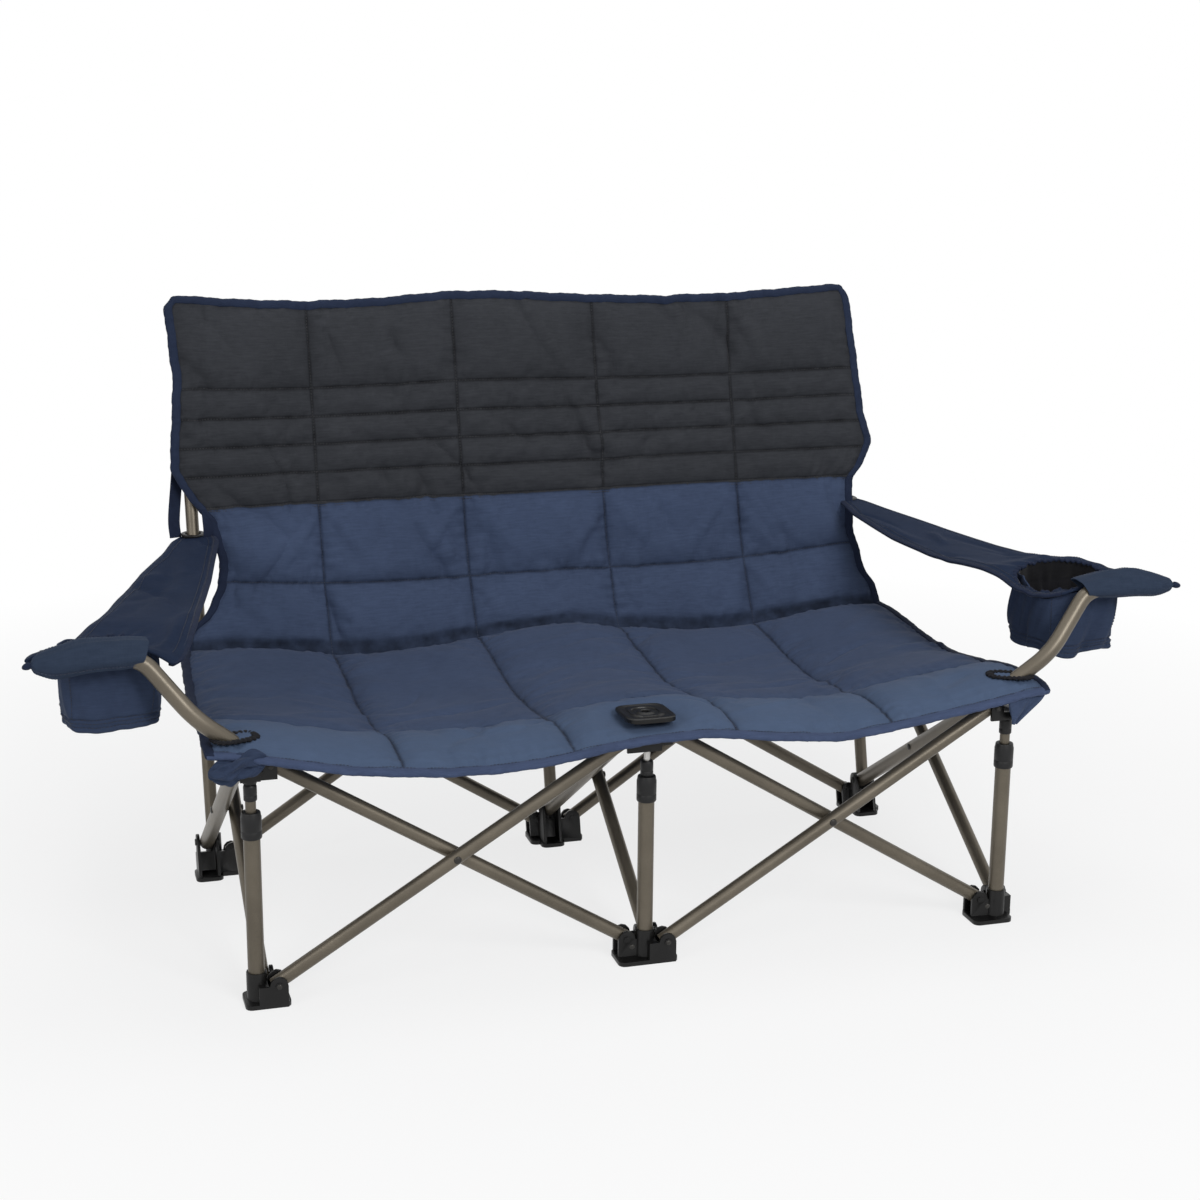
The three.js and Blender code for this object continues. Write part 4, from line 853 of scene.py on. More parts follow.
def backrest_grid(step):
    """The backrest's middle surface. Its rows run from the junction up, and it lies just before the uprights."""
    across = columns(BACK_HALF, step)
    rows = places(np.array([BACK_LOW, *BACK_SEAMS, BACK_HIGH]), step, BACK_SEAMS)
    x, z = np.meshgrid(across, rows)
    left, right = (soft(z, *BACK_EDGE[side], 0.005) for side in ("left", "right"))
    x = widened(x, BACK_HALF, np.where(x < 0, left, right))
    z = z + (soft(x, *TOP_EDGE, 0.02) - BACK_HIGH) * np.clip((z - BORDER) / 0.307, 0, 1) ** 1.5
    y_low, z_low = junction(x)
    z = z + (z_low - BACK_LOW) * np.exp(-np.maximum(0, z - BACK_LOW) / 0.06)
    z = z + 0.013 * np.clip(np.abs(x) / 0.5, 0, 1) ** 3 * np.exp(-((z - 0.409) / 0.03) ** 2)
    y = before_uprights(z) + (y_low - before_uprights(z_low)) * np.exp(-np.maximum(0, z - z_low) / 0.035)
    y = y + 0.010 * np.sin(np.pi * x / BAY) ** 2 * smooth((z - 0.36) / 0.1)
    loose = smooth((z - z_low) / 0.030)
    y = y - loose * sum(height * ridge(x, z, *fold) for *fold, height in PULLS)
    y = y + creases(x, z, 46, 0.0042, (0.010, 0.035), (-0.53, 0.53, 0.54, 0.71), 21, angle=1.25)
    y = y + loose * creases(x, z, 100, 0.0072, (0.02, 0.08), (-0.53, 0.53, 0.34, 0.82), 3, angle=1.9)
    return np.stack([x, y, z], -1), across, rows


def seat_grid(step):
    """The seat's middle surface, from its drooping front edge back to the junction: the height goes from the front
    edge's to the junction's, less a dip of 22 mm * sin^2 behind the hubs."""
    across = columns(SEAT_HALF, step)
    rows = places(np.array([0, SEAT_BAND, 1.0]), step, (SEAT_BAND,), SEAT_RUN)
    x, v = np.meshgrid(across, rows)
    half = soft(v, [0, 0.03, 0.5, 0.9, 1.0], [0.584, 0.586, 0.577, 0.566, 0.559], 0.02)
    x = widened(x, SEAT_HALF, half)
    u = np.abs(x) / half
    front = -0.050 * (1 - 0.6 * u ** 6) + 0.0035 * np.sin(2 * np.pi * x / 0.31 + 0.8)
    y_back, z_back = junction(x)
    y = front + (y_back + 0.004 - front) * v
    z_front = soft(x, *FRONT_EDGE, 0.02) + 0.006
    inward = np.clip((v - 0.12) / 0.88, 0, 1)
    z = z_front + (z_back - z_front) * smooth(v) - 0.022 * np.sin(np.pi * inward) ** 2
    z = z - 0.008 * np.exp(-v / 0.025)
    z = z + 0.004 * np.exp(-((v - 0.16) / 0.10) ** 2) * (1 - u ** 4)
    z = z + smooth((1 - v) / 0.06) * creases(x, y, 64, 0.0056, (0.03, 0.10), (-0.56, 0.56, 0.0, 0.47), 8, angle=0.35)
    return np.stack([x, y, z], -1), across, rows


def flat_places(grid):
    """Each point's place on the flat cloth: lengths measured along the rows and columns from the middle."""
    across = np.linalg.norm(np.diff(grid, axis=1, prepend=grid[:, :1]), axis=-1).cumsum(1)
    across -= across[:, across.shape[1] // 2][:, None]
    along = np.linalg.norm(np.diff(grid, axis=0, prepend=grid[:1]), axis=-1).cumsum(0)
    return np.stack([across, np.broadcast_to(along[:, along.shape[1] // 2][:, None], along.shape)], -1)


def sewn_shade(x, run, seam_run, end):
    """Painted shade at the seams: exp(-(distance / 2.1 mm)^2) plus a quarter of exp(-distance / 11 mm), and more
    painted shade at the junction; end is the distance from it."""
    to_seam = np.minimum(to_nearest(x, SEAMS), to_nearest(run, seam_run))
    to_hem = np.maximum(0, np.minimum(np.abs(x - x.min()), np.abs(x - x.max())) - 0.009)
    shade = np.exp(-(to_seam / 0.0021) ** 2) + 0.25 * np.exp(-np.minimum(to_seam, to_hem) / 0.011)
    return np.maximum(shade, 1.2 * np.exp(-np.maximum(0, end) / 0.004))


def panel(name, front, back, flat, finish, node, **tones):
    """A filled panel; each tone, painted shade or painted light, is a value for every point of its grid that the finish
    reads by its name.
    """
    points, faces = slab(front, back)
    piece = put_mesh(name, points, faces, finish, flat=np.vstack([flat.reshape(-1, 2)] * 2), crease=60)
    for tone, values in tones.items():
        values = np.tile(np.asarray(values, np.float32).ravel(), 2)
        piece.data.attributes.new(tone, "FLOAT", "POINT").data.foreach_set("value", values)
    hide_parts(node)
    return piece


def fold_back(piece):
    """The piece rides on the centre rear foot's body, with a mesh of its own."""
    attach(piece, "rear_foot_centre")
    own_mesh(piece)


SEAT_BODIES = {"left": ("arm_left", "side_tube_left"), "centre": ("hub_tube", "side_tube_centre"),
               "right": ("arm_right", "side_tube_right")}


def fold_seat(piece, side):
    """The seat hangs in a fold between the front hub and the rear slider of its own side."""
    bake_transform(piece, *SEAT_BODIES[side], start=(0, POST_LINE + 0.03, 0.32), end=(0, POST_LINE + 0.50, 0.32))


back_middle, back_columns, back_rows = backrest_grid(STEP)
back_nominal, back_run = np.meshgrid(back_columns, back_rows)
back_normal = surface_normals(back_middle)
pad = quilting(back_nominal, back_run, BACK_SEAMS, 0.0060, 5)
front_move, rear_move = layer_moves(backrest_grid, BACK_SEAMS, 2, 1, back_rows, back_columns)
back_front = back_middle + back_normal * (HALF_CLOTH + pad)[..., None] + front_move
back_rear = back_middle - back_normal * (HALF_CLOTH + 0.35 * pad)[..., None] + 0.6 * rear_move
back_flat = flat_places(back_middle)
# Painted shade along the backrest's seams and on its lowest rows, by the junction
back_shade = sewn_shade(back_nominal, back_run, BACK_SEAMS, back_run - 0.327)

seat_middle, seat_columns, seat_rows = seat_grid(STEP)
seat_nominal, seat_share = np.meshgrid(seat_columns, seat_rows)
seat_run = seat_share * SEAT_RUN
seat_normal = surface_normals(seat_middle)
pad = quilting(seat_nominal, seat_run, np.array([SEAT_BAND]) * SEAT_RUN, 0.0054, 11)
top_move, under_move = layer_moves(seat_grid, np.array([SEAT_BAND]), 1, 2, seat_rows, seat_columns)
# The seat plate holds the cloth down round it
plate_top, PLATE_MIDDLE, PLATE_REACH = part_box("seat_plate")[1][2], 0.010, 0.040
from_plate = np.hypot(seat_middle[..., 0], seat_middle[..., 1] - PLATE_MIDDLE)
free = smooth((from_plate - PLATE_REACH) / 0.035)
seat_top = seat_middle + seat_normal * (HALF_CLOTH + pad * free)[..., None] + top_move * free[..., None]
held_at = plate_top - 0.0052 + 0.35 * np.maximum(0, from_plate - PLATE_REACH)
seat_top[..., 2] = np.minimum(seat_top[..., 2], held_at)
seat_under = (seat_middle - seat_normal * (HALF_CLOTH + 0.4 * pad * free)[..., None]
              + 0.6 * under_move * free[..., None])
seat_under[..., 2] = np.minimum(seat_under[..., 2], seat_top[..., 2] - 0.0030)
seat_flat = flat_places(seat_middle)
# Painted shade along the seat's seams and at the junction
seat_shade = sewn_shade(seat_nominal, seat_run, np.array([SEAT_BAND, 1.0]) * SEAT_RUN, (1 - seat_share) * SEAT_RUN)
# Painted light on the seat's front band, fading out just past the band's seam
seat_faded = smooth((SEAT_BAND + 0.06 - seat_share) / 0.22)


def near(values, lines):
    """The index of the value nearest to each line."""
    return [int(np.argmin(np.abs(values - line))) for line in lines]


border_row = near(back_rows, [BORDER])[0]
above, below = slice(border_row, None), slice(None, border_row + 1)
for name, part, finish in (("charcoal", above, charcoal), ("navy", below, navy)):
    piece = panel(f"backrest_{name}", back_front[part], back_rear[part], back_flat[part], finish, "back_panel",
                  sewn_shade=back_shade[part])
    fold_back(piece)

limits = [0, *near(seat_columns, SEAT_SPLITS), len(seat_columns) - 1]
seat_parts = {side: np.s_[:, a:b + 1] for side, a, b in zip(SIDES, limits[:-1], limits[1:])}
for side, part in seat_parts.items():
    piece = panel(f"seat_{side}", seat_top[part], seat_under[part], seat_flat[part], navy, "seat_panel",
                  sewn_shade=seat_shade[part], faded=seat_faded[part])
    fold_seat(piece, side)

# Binding: a tape folded over the edge, carried along it
BINDING = [(0.0105, 0.0030), (0.0095, 0.0038), (0.0030, 0.0042), (-0.0010, 0.0034), (-0.0026, 0.0012),
           (-0.0026, -0.0012), (-0.0010, -0.0034), (0.0030, -0.0042), (0.0095, -0.0038), (0.0105, -0.0030)]


def bound_edge(path, inner, normal, wobble=0.0005):
    """Tape along an edge path, its width a little uneven; inner is a point path just inside the cloth."""
    inward = unit(inner - path)
    normal = unit(normal - inward * np.sum(normal * inward, axis=1, keepdims=True))
    run = lengths(path)
    shift = wobble * (np.sin(run * 97) + 0.7 * np.sin(run * 231 + 1) + 0.5 * np.sin(run * 523 + 2))
    return carried(path + inward * shift[:, None], inward, normal, BINDING)


def edge_run(grid, normal, where):
    """The path, the path four columns in, and the normals along one edge of a grid."""
    take = {"left": (np.s_[:, 0], np.s_[:, 4]), "right": (np.s_[::-1, -1], np.s_[::-1, -5]),
            "top": (np.s_[-1, :], np.s_[-5, :]), "front": (np.s_[0, :], np.s_[4, :])}[where]
    return grid[take[0]], grid[take[1]], normal[take[0]]


edges = [edge_run(back_middle[above], back_normal[above], where) for where in ("left", "top", "right")]
whole = [np.vstack(kind) for kind in zip(*edges)]
fold_back(put_solid("backrest_binding_upper", [bound_edge(*whole)], tape, crease=50))
edges = [edge_run(back_middle[below], back_normal[below], where) for where in ("left", "right")]
fold_back(put_solid("backrest_binding_lower", [bound_edge(*edge) for edge in edges], dark_tape, crease=50))
for side, part in seat_parts.items():
    grid, normal = seat_middle[part], seat_normal[part]
    edges = {"hem": (edge_run(grid, normal, "front"), hem_navy_painted_light)}
    if side != "centre":
        edges["binding"] = ([k[::-1] for k in edge_run(grid, normal, side)], dark_tape)
    for edge, (runs, finish) in edges.items():
        fold_seat(put_solid(f"seat_{edge}_{side}", [bound_edge(*runs)], finish, crease=50), side)

# Hem of the charcoal cloth over the navy, and all the sewing lines
HEM = [(-0.0075, -0.001), (-0.0075, 0.0012), (-0.0065, 0.0019), (0.0020, 0.0021), (0.0030, 0.0012), (0.0030, -0.001)]
row, row_normal = back_front[border_row], back_normal[border_row]
hem = carried(row - row_normal * 0.001, np.gradient(back_front, axis=0)[border_row] / STEP, row_normal, HEM)
fold_back(put_solid("charcoal_hem", [hem], charcoal, crease=50))


def sewn_along(part, seam_rows):
    """Stitch lines down the backrest's seams within a part of its rows, and along whole rows."""
    lines = [(back_front[part, j], back_normal[part, j]) for j in near(back_columns, SEAMS)]
    return lines + [(back_front[i], back_normal[i]) for i in near(back_rows, seam_rows)]


row_rise = unit(np.gradient(back_front, axis=0))[border_row]
lines = sewn_along(above, BACK_SEAMS[2:])
lines += [(row + row_rise * shift + row_normal * 0.0013, row_normal) for shift in (-0.0055, 0.0008)]
fold_back(put_solid("backrest_charcoal_stitching", [stitches(lines)], charcoal_thread, crease=80))
lines = sewn_along(slice(None, border_row - 1), BACK_SEAMS[:1])
fold_back(put_solid("backrest_navy_stitching", [stitches(lines)], navy_thread, crease=80))
for side, part in seat_parts.items():
    top, normal, cols = seat_top[part], seat_normal[part], seat_columns[part[1]]
    inside = [x for x in SEAMS if cols[0] + 0.01 < x < cols[-1] - 0.01]
    lines = [(top[:, j], normal[:, j]) for j in near(cols, inside)]
    lines += [(top[i], normal[i]) for i in near(seat_rows, [SEAT_BAND])]
    lines += [(top[2] + normal[2] * 0.001, normal[2])]
    fold_seat(put_solid(f"seat_stitching_{side}", [stitches(lines)], navy_thread, crease=80), side)

# Closed pockets of cloth that hang the backrest from the tops of the uprights
POCKET = [(0, 0.0055), (0.004, 0.0052), (0.0095, 0.0030), (0.0122, -0.001), (0.0129, -0.012), (0.0127, -0.035),
          (0.0133, -0.060), (0.0128, -0.0615), (0.0104, -0.0610), (0.0102, -0.050), (0.0101, -0.002), (0, 0.0010)]
for side, x in SIDES.items():
    pocket = turned(POCKET, at_x(upright_top, x), lean_up, 32)
    attach(put_solid(f"upright_pocket_{side}", [pocket], tape), f"rear_foot_{side}")


# ---------------------------------------------------------------- armrests
# The armrests are drawn for the right side and mirrored for the left. The sleeve runs from its mouth to its tip
SHEET_TILT = math.radians(1.7)
MOUTH = np.array([0.652, 0.0225, 0.473])
TIP = np.array([0.792, 0.0145, 0.474])
OUTER_EDGE = ([0.030, 0.055, 0.079, 0.099, 0.139, 0.236, 0.332, 0.440, 0.488, 0.540, 0.585, 0.606, 0.618],
              [0.796, 0.790, 0.777, 0.763, 0.735, 0.692, 0.659, 0.620, 0.598, 0.576, 0.562, 0.550, 0.534])
INNER_EDGE = {
    "left": ([0.030, 0.054, 0.100, 0.150, 0.250, 0.380, 0.506, 0.560, 0.590, 0.606, 0.618],
             [0.620, 0.602, 0.587, 0.575, 0.556, 0.530, 0.507, 0.498, 0.500, 0.510, 0.526]),
    "right": ([0.030, 0.054, 0.100, 0.150, 0.250, 0.380, 0.506, 0.560, 0.590, 0.606, 0.618],
              [0.632, 0.604, 0.580, 0.564, 0.540, 0.516, 0.507, 0.513, 0.515, 0.518, 0.526])}
# Cup hole: middle and half-widths. The right one is pulled wide open
CUP = {"left": (0.692, 0.107, 0.046, 0.043), "right": (0.660, 0.109, 0.069, 0.044)}
# Height of the sleeve's top over the arm tube and depth of its hem below it, by share of the way out
SLEEVE_SHARES = [-0.30, -0.12, 0.0, 0.15, 0.35, 0.60, 0.80, 0.93, 1.0]
SLEEVE_TOP = {"left": [0.004, 0.012, 0.018, 0.021, 0.023, 0.022, 0.016, 0.010, 0.006],
              "right": [0.002, 0.007, 0.013, 0.017, 0.023, 0.023, 0.017, 0.010, 0.006]}
SLEEVE_HEM = {"left": [0.014, 0.014, 0.014, 0.014, 0.014, 0.017, 0.020, 0.013, 0.007],
              "right": [0.013, 0.013, 0.013, 0.013, 0.013, 0.014, 0.015, 0.011, 0.006]}


def sheet_height(x, y, side, seed):
    """The armrest's cloth: a plane that rises to the grommet, lifted over the arm tube at its front as
    exp(-((y - 34 mm) / 30 mm)^2), sunk round the cup hole by its load, and drooping at the inner front corner."""
    plane = 0.474 + (y - 0.023) * math.tan(SHEET_TILT)
    z = plane - 0.010 * np.sin(np.pi * np.clip((y - 0.06) / 0.54, 0, 1)) ** 2
    inner = soft(y, *INNER_EDGE[side], 0.01)
    outer = soft(y, *OUTER_EDGE, 0.01)
    share = np.clip((x - inner) / np.maximum(outer - inner, 0.01), 0, 1)
    droop = np.exp(-share / 0.15) * np.exp(-((y - 0.03) / 0.085) ** 2)
    z = z - (0.019 if side == "left" else 0.002) * droop - 0.005 * np.exp(-(1 - share) / 0.08)
    out = (x - MOUTH[0]) / (TIP[0] - MOUTH[0])
    lift = soft(out, SLEEVE_SHARES, SLEEVE_TOP[side], 0.05) * 0.86 - 0.001
    z = z + lift * np.exp(-(np.maximum(y - 0.036, 0) / 0.030) ** 2) * (1 - 0.8 * droop)
    cx, cy, wide, deep = CUP[side]
    reach, turn = np.hypot((x - cx) / wide, (y - cy) / deep), np.arctan2((y - cy) / deep, (x - cx) / wide)
    bowl = np.exp(-(reach / 1.7) ** 4)
    if side == "left":
        z = z - 0.010 * bowl
    else:
        z = z + bowl * (-0.005 + 0.016 * np.clip(reach, 0, 1.3) * np.sin(turn + 0.25))
    z = z + 0.0016 * np.sin(13 * turn + 2.5 * np.sin(3 * turn)) * np.exp(-np.abs(reach - 1) / 0.35)
    steady = 0.35 + 0.65 * smooth(np.minimum(share, 1 - share) / 0.2)
    return z + steady * creases(x, y, 34, 0.0048, (0.02, 0.09), (0.50, 0.76, 0.05, 0.60), seed, angle=1.75)


def armrest_cloth(side, seed):
    """Grid of the armrest between its two edges, with the cup hole and the upright's hole opened in it: points
    inside a hole are moved out to its rim, and faces wholly inside it are left out."""
    ys = np.linspace(0.034, 0.6175, 170)
    share = np.linspace(0, 1, 70)
    inner, outer = soft(ys, *INNER_EDGE[side], 0.006), soft(ys, *OUTER_EDGE, 0.006)
    x = inner[:, None] + (outer - inner)[:, None] * share
    y = np.broadcast_to(ys[:, None], x.shape).copy()
    inside = np.zeros(x.shape, bool)
    for cx, cy, a, b in (CUP[side], (0.53, 0.5992, 0.0128, 0.0128)):
        reach = np.hypot((x - cx) / a, (y - cy) / b)
        hit = reach < 1
        inside |= hit
        push = np.where(hit, 1 / np.maximum(reach, 0.02), 1)
        x, y = cx + (x - cx) * push, cy + (y - cy) * push
    z = sheet_height(x, y, side, seed)
    k = np.arange(x.size).reshape(x.shape)
    quads = np.stack([k[:-1, :-1], k[:-1, 1:], k[1:, 1:], k[1:, :-1]], -1).reshape(-1, 4)
    quads = quads[~inside.ravel()[quads].all(axis=1)]
    used = np.unique(quads)
    remap = np.full(x.size, -1)
    remap[used] = np.arange(len(used))
    points = np.stack([x, y, z], -1).reshape(-1, 3)[used]
    return points, remap[quads], np.stack([x, y], -1).reshape(-1, 2)[used]


SLEEVE_SIDES = 56


def sleeve_ring(share, side, seed):
    """Cross-section of the sleeve at a share of the way out: its top stands over the tube and leans back onto the
    armrest, its front falls to a hem, and it closes up behind the tube."""
    some = np.random.default_rng(seed)
    turn = circle(SLEEVE_SIDES)
    c, s = np.cos(turn), np.sin(turn)
    top = soft(share, SLEEVE_SHARES, SLEEVE_TOP[side], 0.05)
    hem = soft(share, SLEEVE_SHARES, SLEEVE_HEM[side], 0.05)
    half = 0.0150 * (1 - 0.60 * smooth((share - 0.78) / 0.22))
    upper = np.maximum(s, 0)
    rear = smooth(-c) * smooth(upper * 1.6) * (1 - smooth((share - 0.8) / 0.2))
    y = -half * c + 0.016 * upper * (top / 0.027) + 0.022 * rear
    z = np.where(s > 0, top * np.abs(s) ** 0.75, -hem * np.abs(s) ** 0.8)
    y = y + np.where(s < 0, 0.006 * np.abs(s) * c, 0)
    a, b, d = some.uniform(0, 6, 3)
    fold = 0.0004 * np.sin(share * 2 * np.pi * 2.3 + a + 1.3 * s) + 0.0007 * np.sin(6 * turn + 4 * share + b)
    swell = 1 + (fold + 0.00022 * np.sin(share * 2 * np.pi * 38 + d)) / 0.016
    return y * swell, z * swell


def squash_depth(piece):
    """The armrest's piece gets a mesh of its own."""
    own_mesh(piece)


def armrest(side, seed):
    """One armrest: its cloth, sleeve, binding, stitching, cup hole, pouch and grommet."""
    out = math.copysign(1, SIDES[side])
    body = f"arm_{side}"
    mirror = np.array([out, 1, 1])
    lifted = lambda path, lift=0.0: np.column_stack(
        [path[:, :2], sheet_height(path[:, 0], path[:, 1], side, seed) + lift])

    def place(name, shape, finish, crease=60, flat=None, squash=True):
        points, faces = shape
        points = np.asarray(points).reshape(-1, 3) * mirror
        piece = put_solid(name.format(side), [(points, faces)], finish, crease=crease, flat=flat)
        attach(piece, body)
        if squash:
            squash_depth(piece)
        return piece

    points, quads, flat = armrest_cloth(side, seed)
    quads = quads if out > 0 else quads[:, ::-1]
    cloth = put_mesh(f"armrest_{side}_cloth", points * mirror, quads, armrest_navy_painted_shade, flat=flat * [out, 1], crease=60)
    wall = cloth.modifiers.new("two layers", "SOLIDIFY")
    wall.thickness = 0.0034
    wall.offset = 0
    applied(cloth)
    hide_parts(f"armrest_{side}")
    attach(cloth, body)
    squash_depth(cloth)

    # Sleeve over the arm tube, drawn in to a small rolled end; its inner skin closes the mouth's thickness
    shares = np.linspace(0, 1, 110)
    rings = []
    for share in shares:
        y, z = sleeve_ring(share, side, seed)
        close = 1 - 0.80 * smooth((share - 0.95) / 0.05)
        centre = MOUTH + (TIP - MOUTH) * share
        slant = 0.008 * max(0, 1 - share / 0.2)
        x = centre[0] - slant * np.clip(z / 0.02, -1, 1)
        rings.append(np.stack([x, centre[1] + y * close, centre[2] + z * close], 1))
    rings = np.array(rings)
    skin = rings[::-1] + (rings[::-1].mean(axis=1, keepdims=True) - rings[::-1]) * 0.09
    shell = np.vstack([rings, skin])
    along, around = np.meshgrid(np.concatenate([shares, shares[::-1]]) * 0.14, np.linspace(0, 0.12, SLEEVE_SIDES),
                                indexing="ij")
    shape = (shell, ring_faces(len(shell), SLEEVE_SIDES, closed_run=True))
    place("armrest_{}_sleeve", shape, slate, flat=np.stack([along, around], -1).reshape(-1, 2), squash=False)
    roll = curve([TIP + [-0.002, 0.001, 0], TIP + [0.003, -0.001, -0.001], TIP + [0.0075, -0.003, -0.002]], 0.001)
    _, a, b = frames_along(roll)
    size = 0.0046 * np.sqrt(np.clip(np.sin(np.linspace(0.9, np.pi - 0.12, len(roll))), 0, 1))
    turn = circle(16)[None, :, None]
    ring = roll[:, None] + size[:, None, None] * (np.cos(turn) * a[:, None] + np.sin(turn) * b[:, None])
    place("armrest_{}_rolled_end", (ring, capped(len(roll), 16)), dark_tape, squash=False)

    # Binding round the armrest's edge, hem lines inside it, and two rows along the sleeve
    ys = np.linspace(0.036, 0.6165, 170)
    inner, outer = (np.stack([soft(ys, *edge, 0.006), ys, 0 * ys], 1) for edge in (INNER_EDGE[side], OUTER_EDGE))
    loop = lifted(evenly(np.vstack([outer, inner[::-1]]), 0.003))
    tangent = unit(np.gradient(loop, axis=0))
    inward = unit(np.cross(up, tangent))
    normal = np.cross(tangent, inward)
    place("armrest_{}_binding", carried(loop, inward, normal, ARM_BINDING), dark_tape, crease=50)
    hem = lifted(loop[8:-8] + inward[8:-8] * 0.013, 0.0017)
    tape_line = loop[4:-4] + inward[4:-4] * 0.0050 + normal[4:-4] * 0.0028
    lines = [(hem, normal[8:-8]), (tape_line, normal[4:-4])]
    place("armrest_{}_stitching", stitches(lines), dark_thread, crease=80)
    run = rings[4:-9]
    lines = [(run[:, k], unit(run[:, k] - run.mean(axis=1))) for k in (21, 51)]
    place("armrest_{}_sleeve_stitching", stitches(lines, 0.00055), navy_thread, crease=80, squash=False)

    # Gathered elastic casing round the cup hole
    cx, cy, wide, deep = CUP[side]
    turn = circle(420)
    frill = 0.985 + 0.012 * np.sin(46 * turn + 1.5 * np.sin(5 * turn))
    path = np.stack([cx + wide * frill * np.cos(turn), cy + deep * frill * np.sin(turn)], 1)
    path = lifted(path, 0.0008 * np.sin(46 * turn))
    inward = unit(np.stack([np.cos(turn), np.sin(turn), 0 * turn], 1))
    normal = np.broadcast_to(up, inward.shape)
    casing = carried(path, inward, normal, ellipse(14, 0.0030, 0.0026), closed=True)
    place("armrest_{}_cup_elastic", casing, dark_tape, crease=70)

    pouch(side, out, place, seed)
    # Oval grommet that the upright passes through
    at = np.array([BAY * out, rear_base[1] + (GROMMET_HEIGHT - FOOT_PIN) * math.tan(LEAN), GROMMET_HEIGHT])
    tilt = np.array([0, -math.sin(SHEET_TILT), math.cos(SHEET_TILT)])
    ring = put_solid(f"arm_grommet_{side}_ring", [turned(GROMMET, at, tilt, 48)], black)
    stand_for(ring, f"arm_grommet_{side}")


ARM_BINDING = [(0.0075, 0.0021), (0.0065, 0.0028), (0.0010, 0.0030), (-0.0016, 0.0012), (-0.0016, -0.0012),
               (0.0010, -0.0030), (0.0065, -0.0028), (0.0075, -0.0021)]
GROMMET_HEIGHT = 0.4908
GROMMET = [(0.0119, -0.0040), (0.0133, -0.0046), (0.0158, -0.0044), (0.0172, -0.0034), (0.0172, -0.0022),
           (0.0160, -0.0016), (0.0160, 0.0014), (0.0190, 0.0019), (0.0194, 0.0028), (0.0180, 0.0038),
           (0.0150, 0.0046), (0.0132, 0.0044), (0.0119, 0.0036)]
POUCH = {"left": (0.692, 0.107), "right": (0.668, 0.1065)}
POUCH_TOP, POUCH_LOW = 0.4665, 0.3745


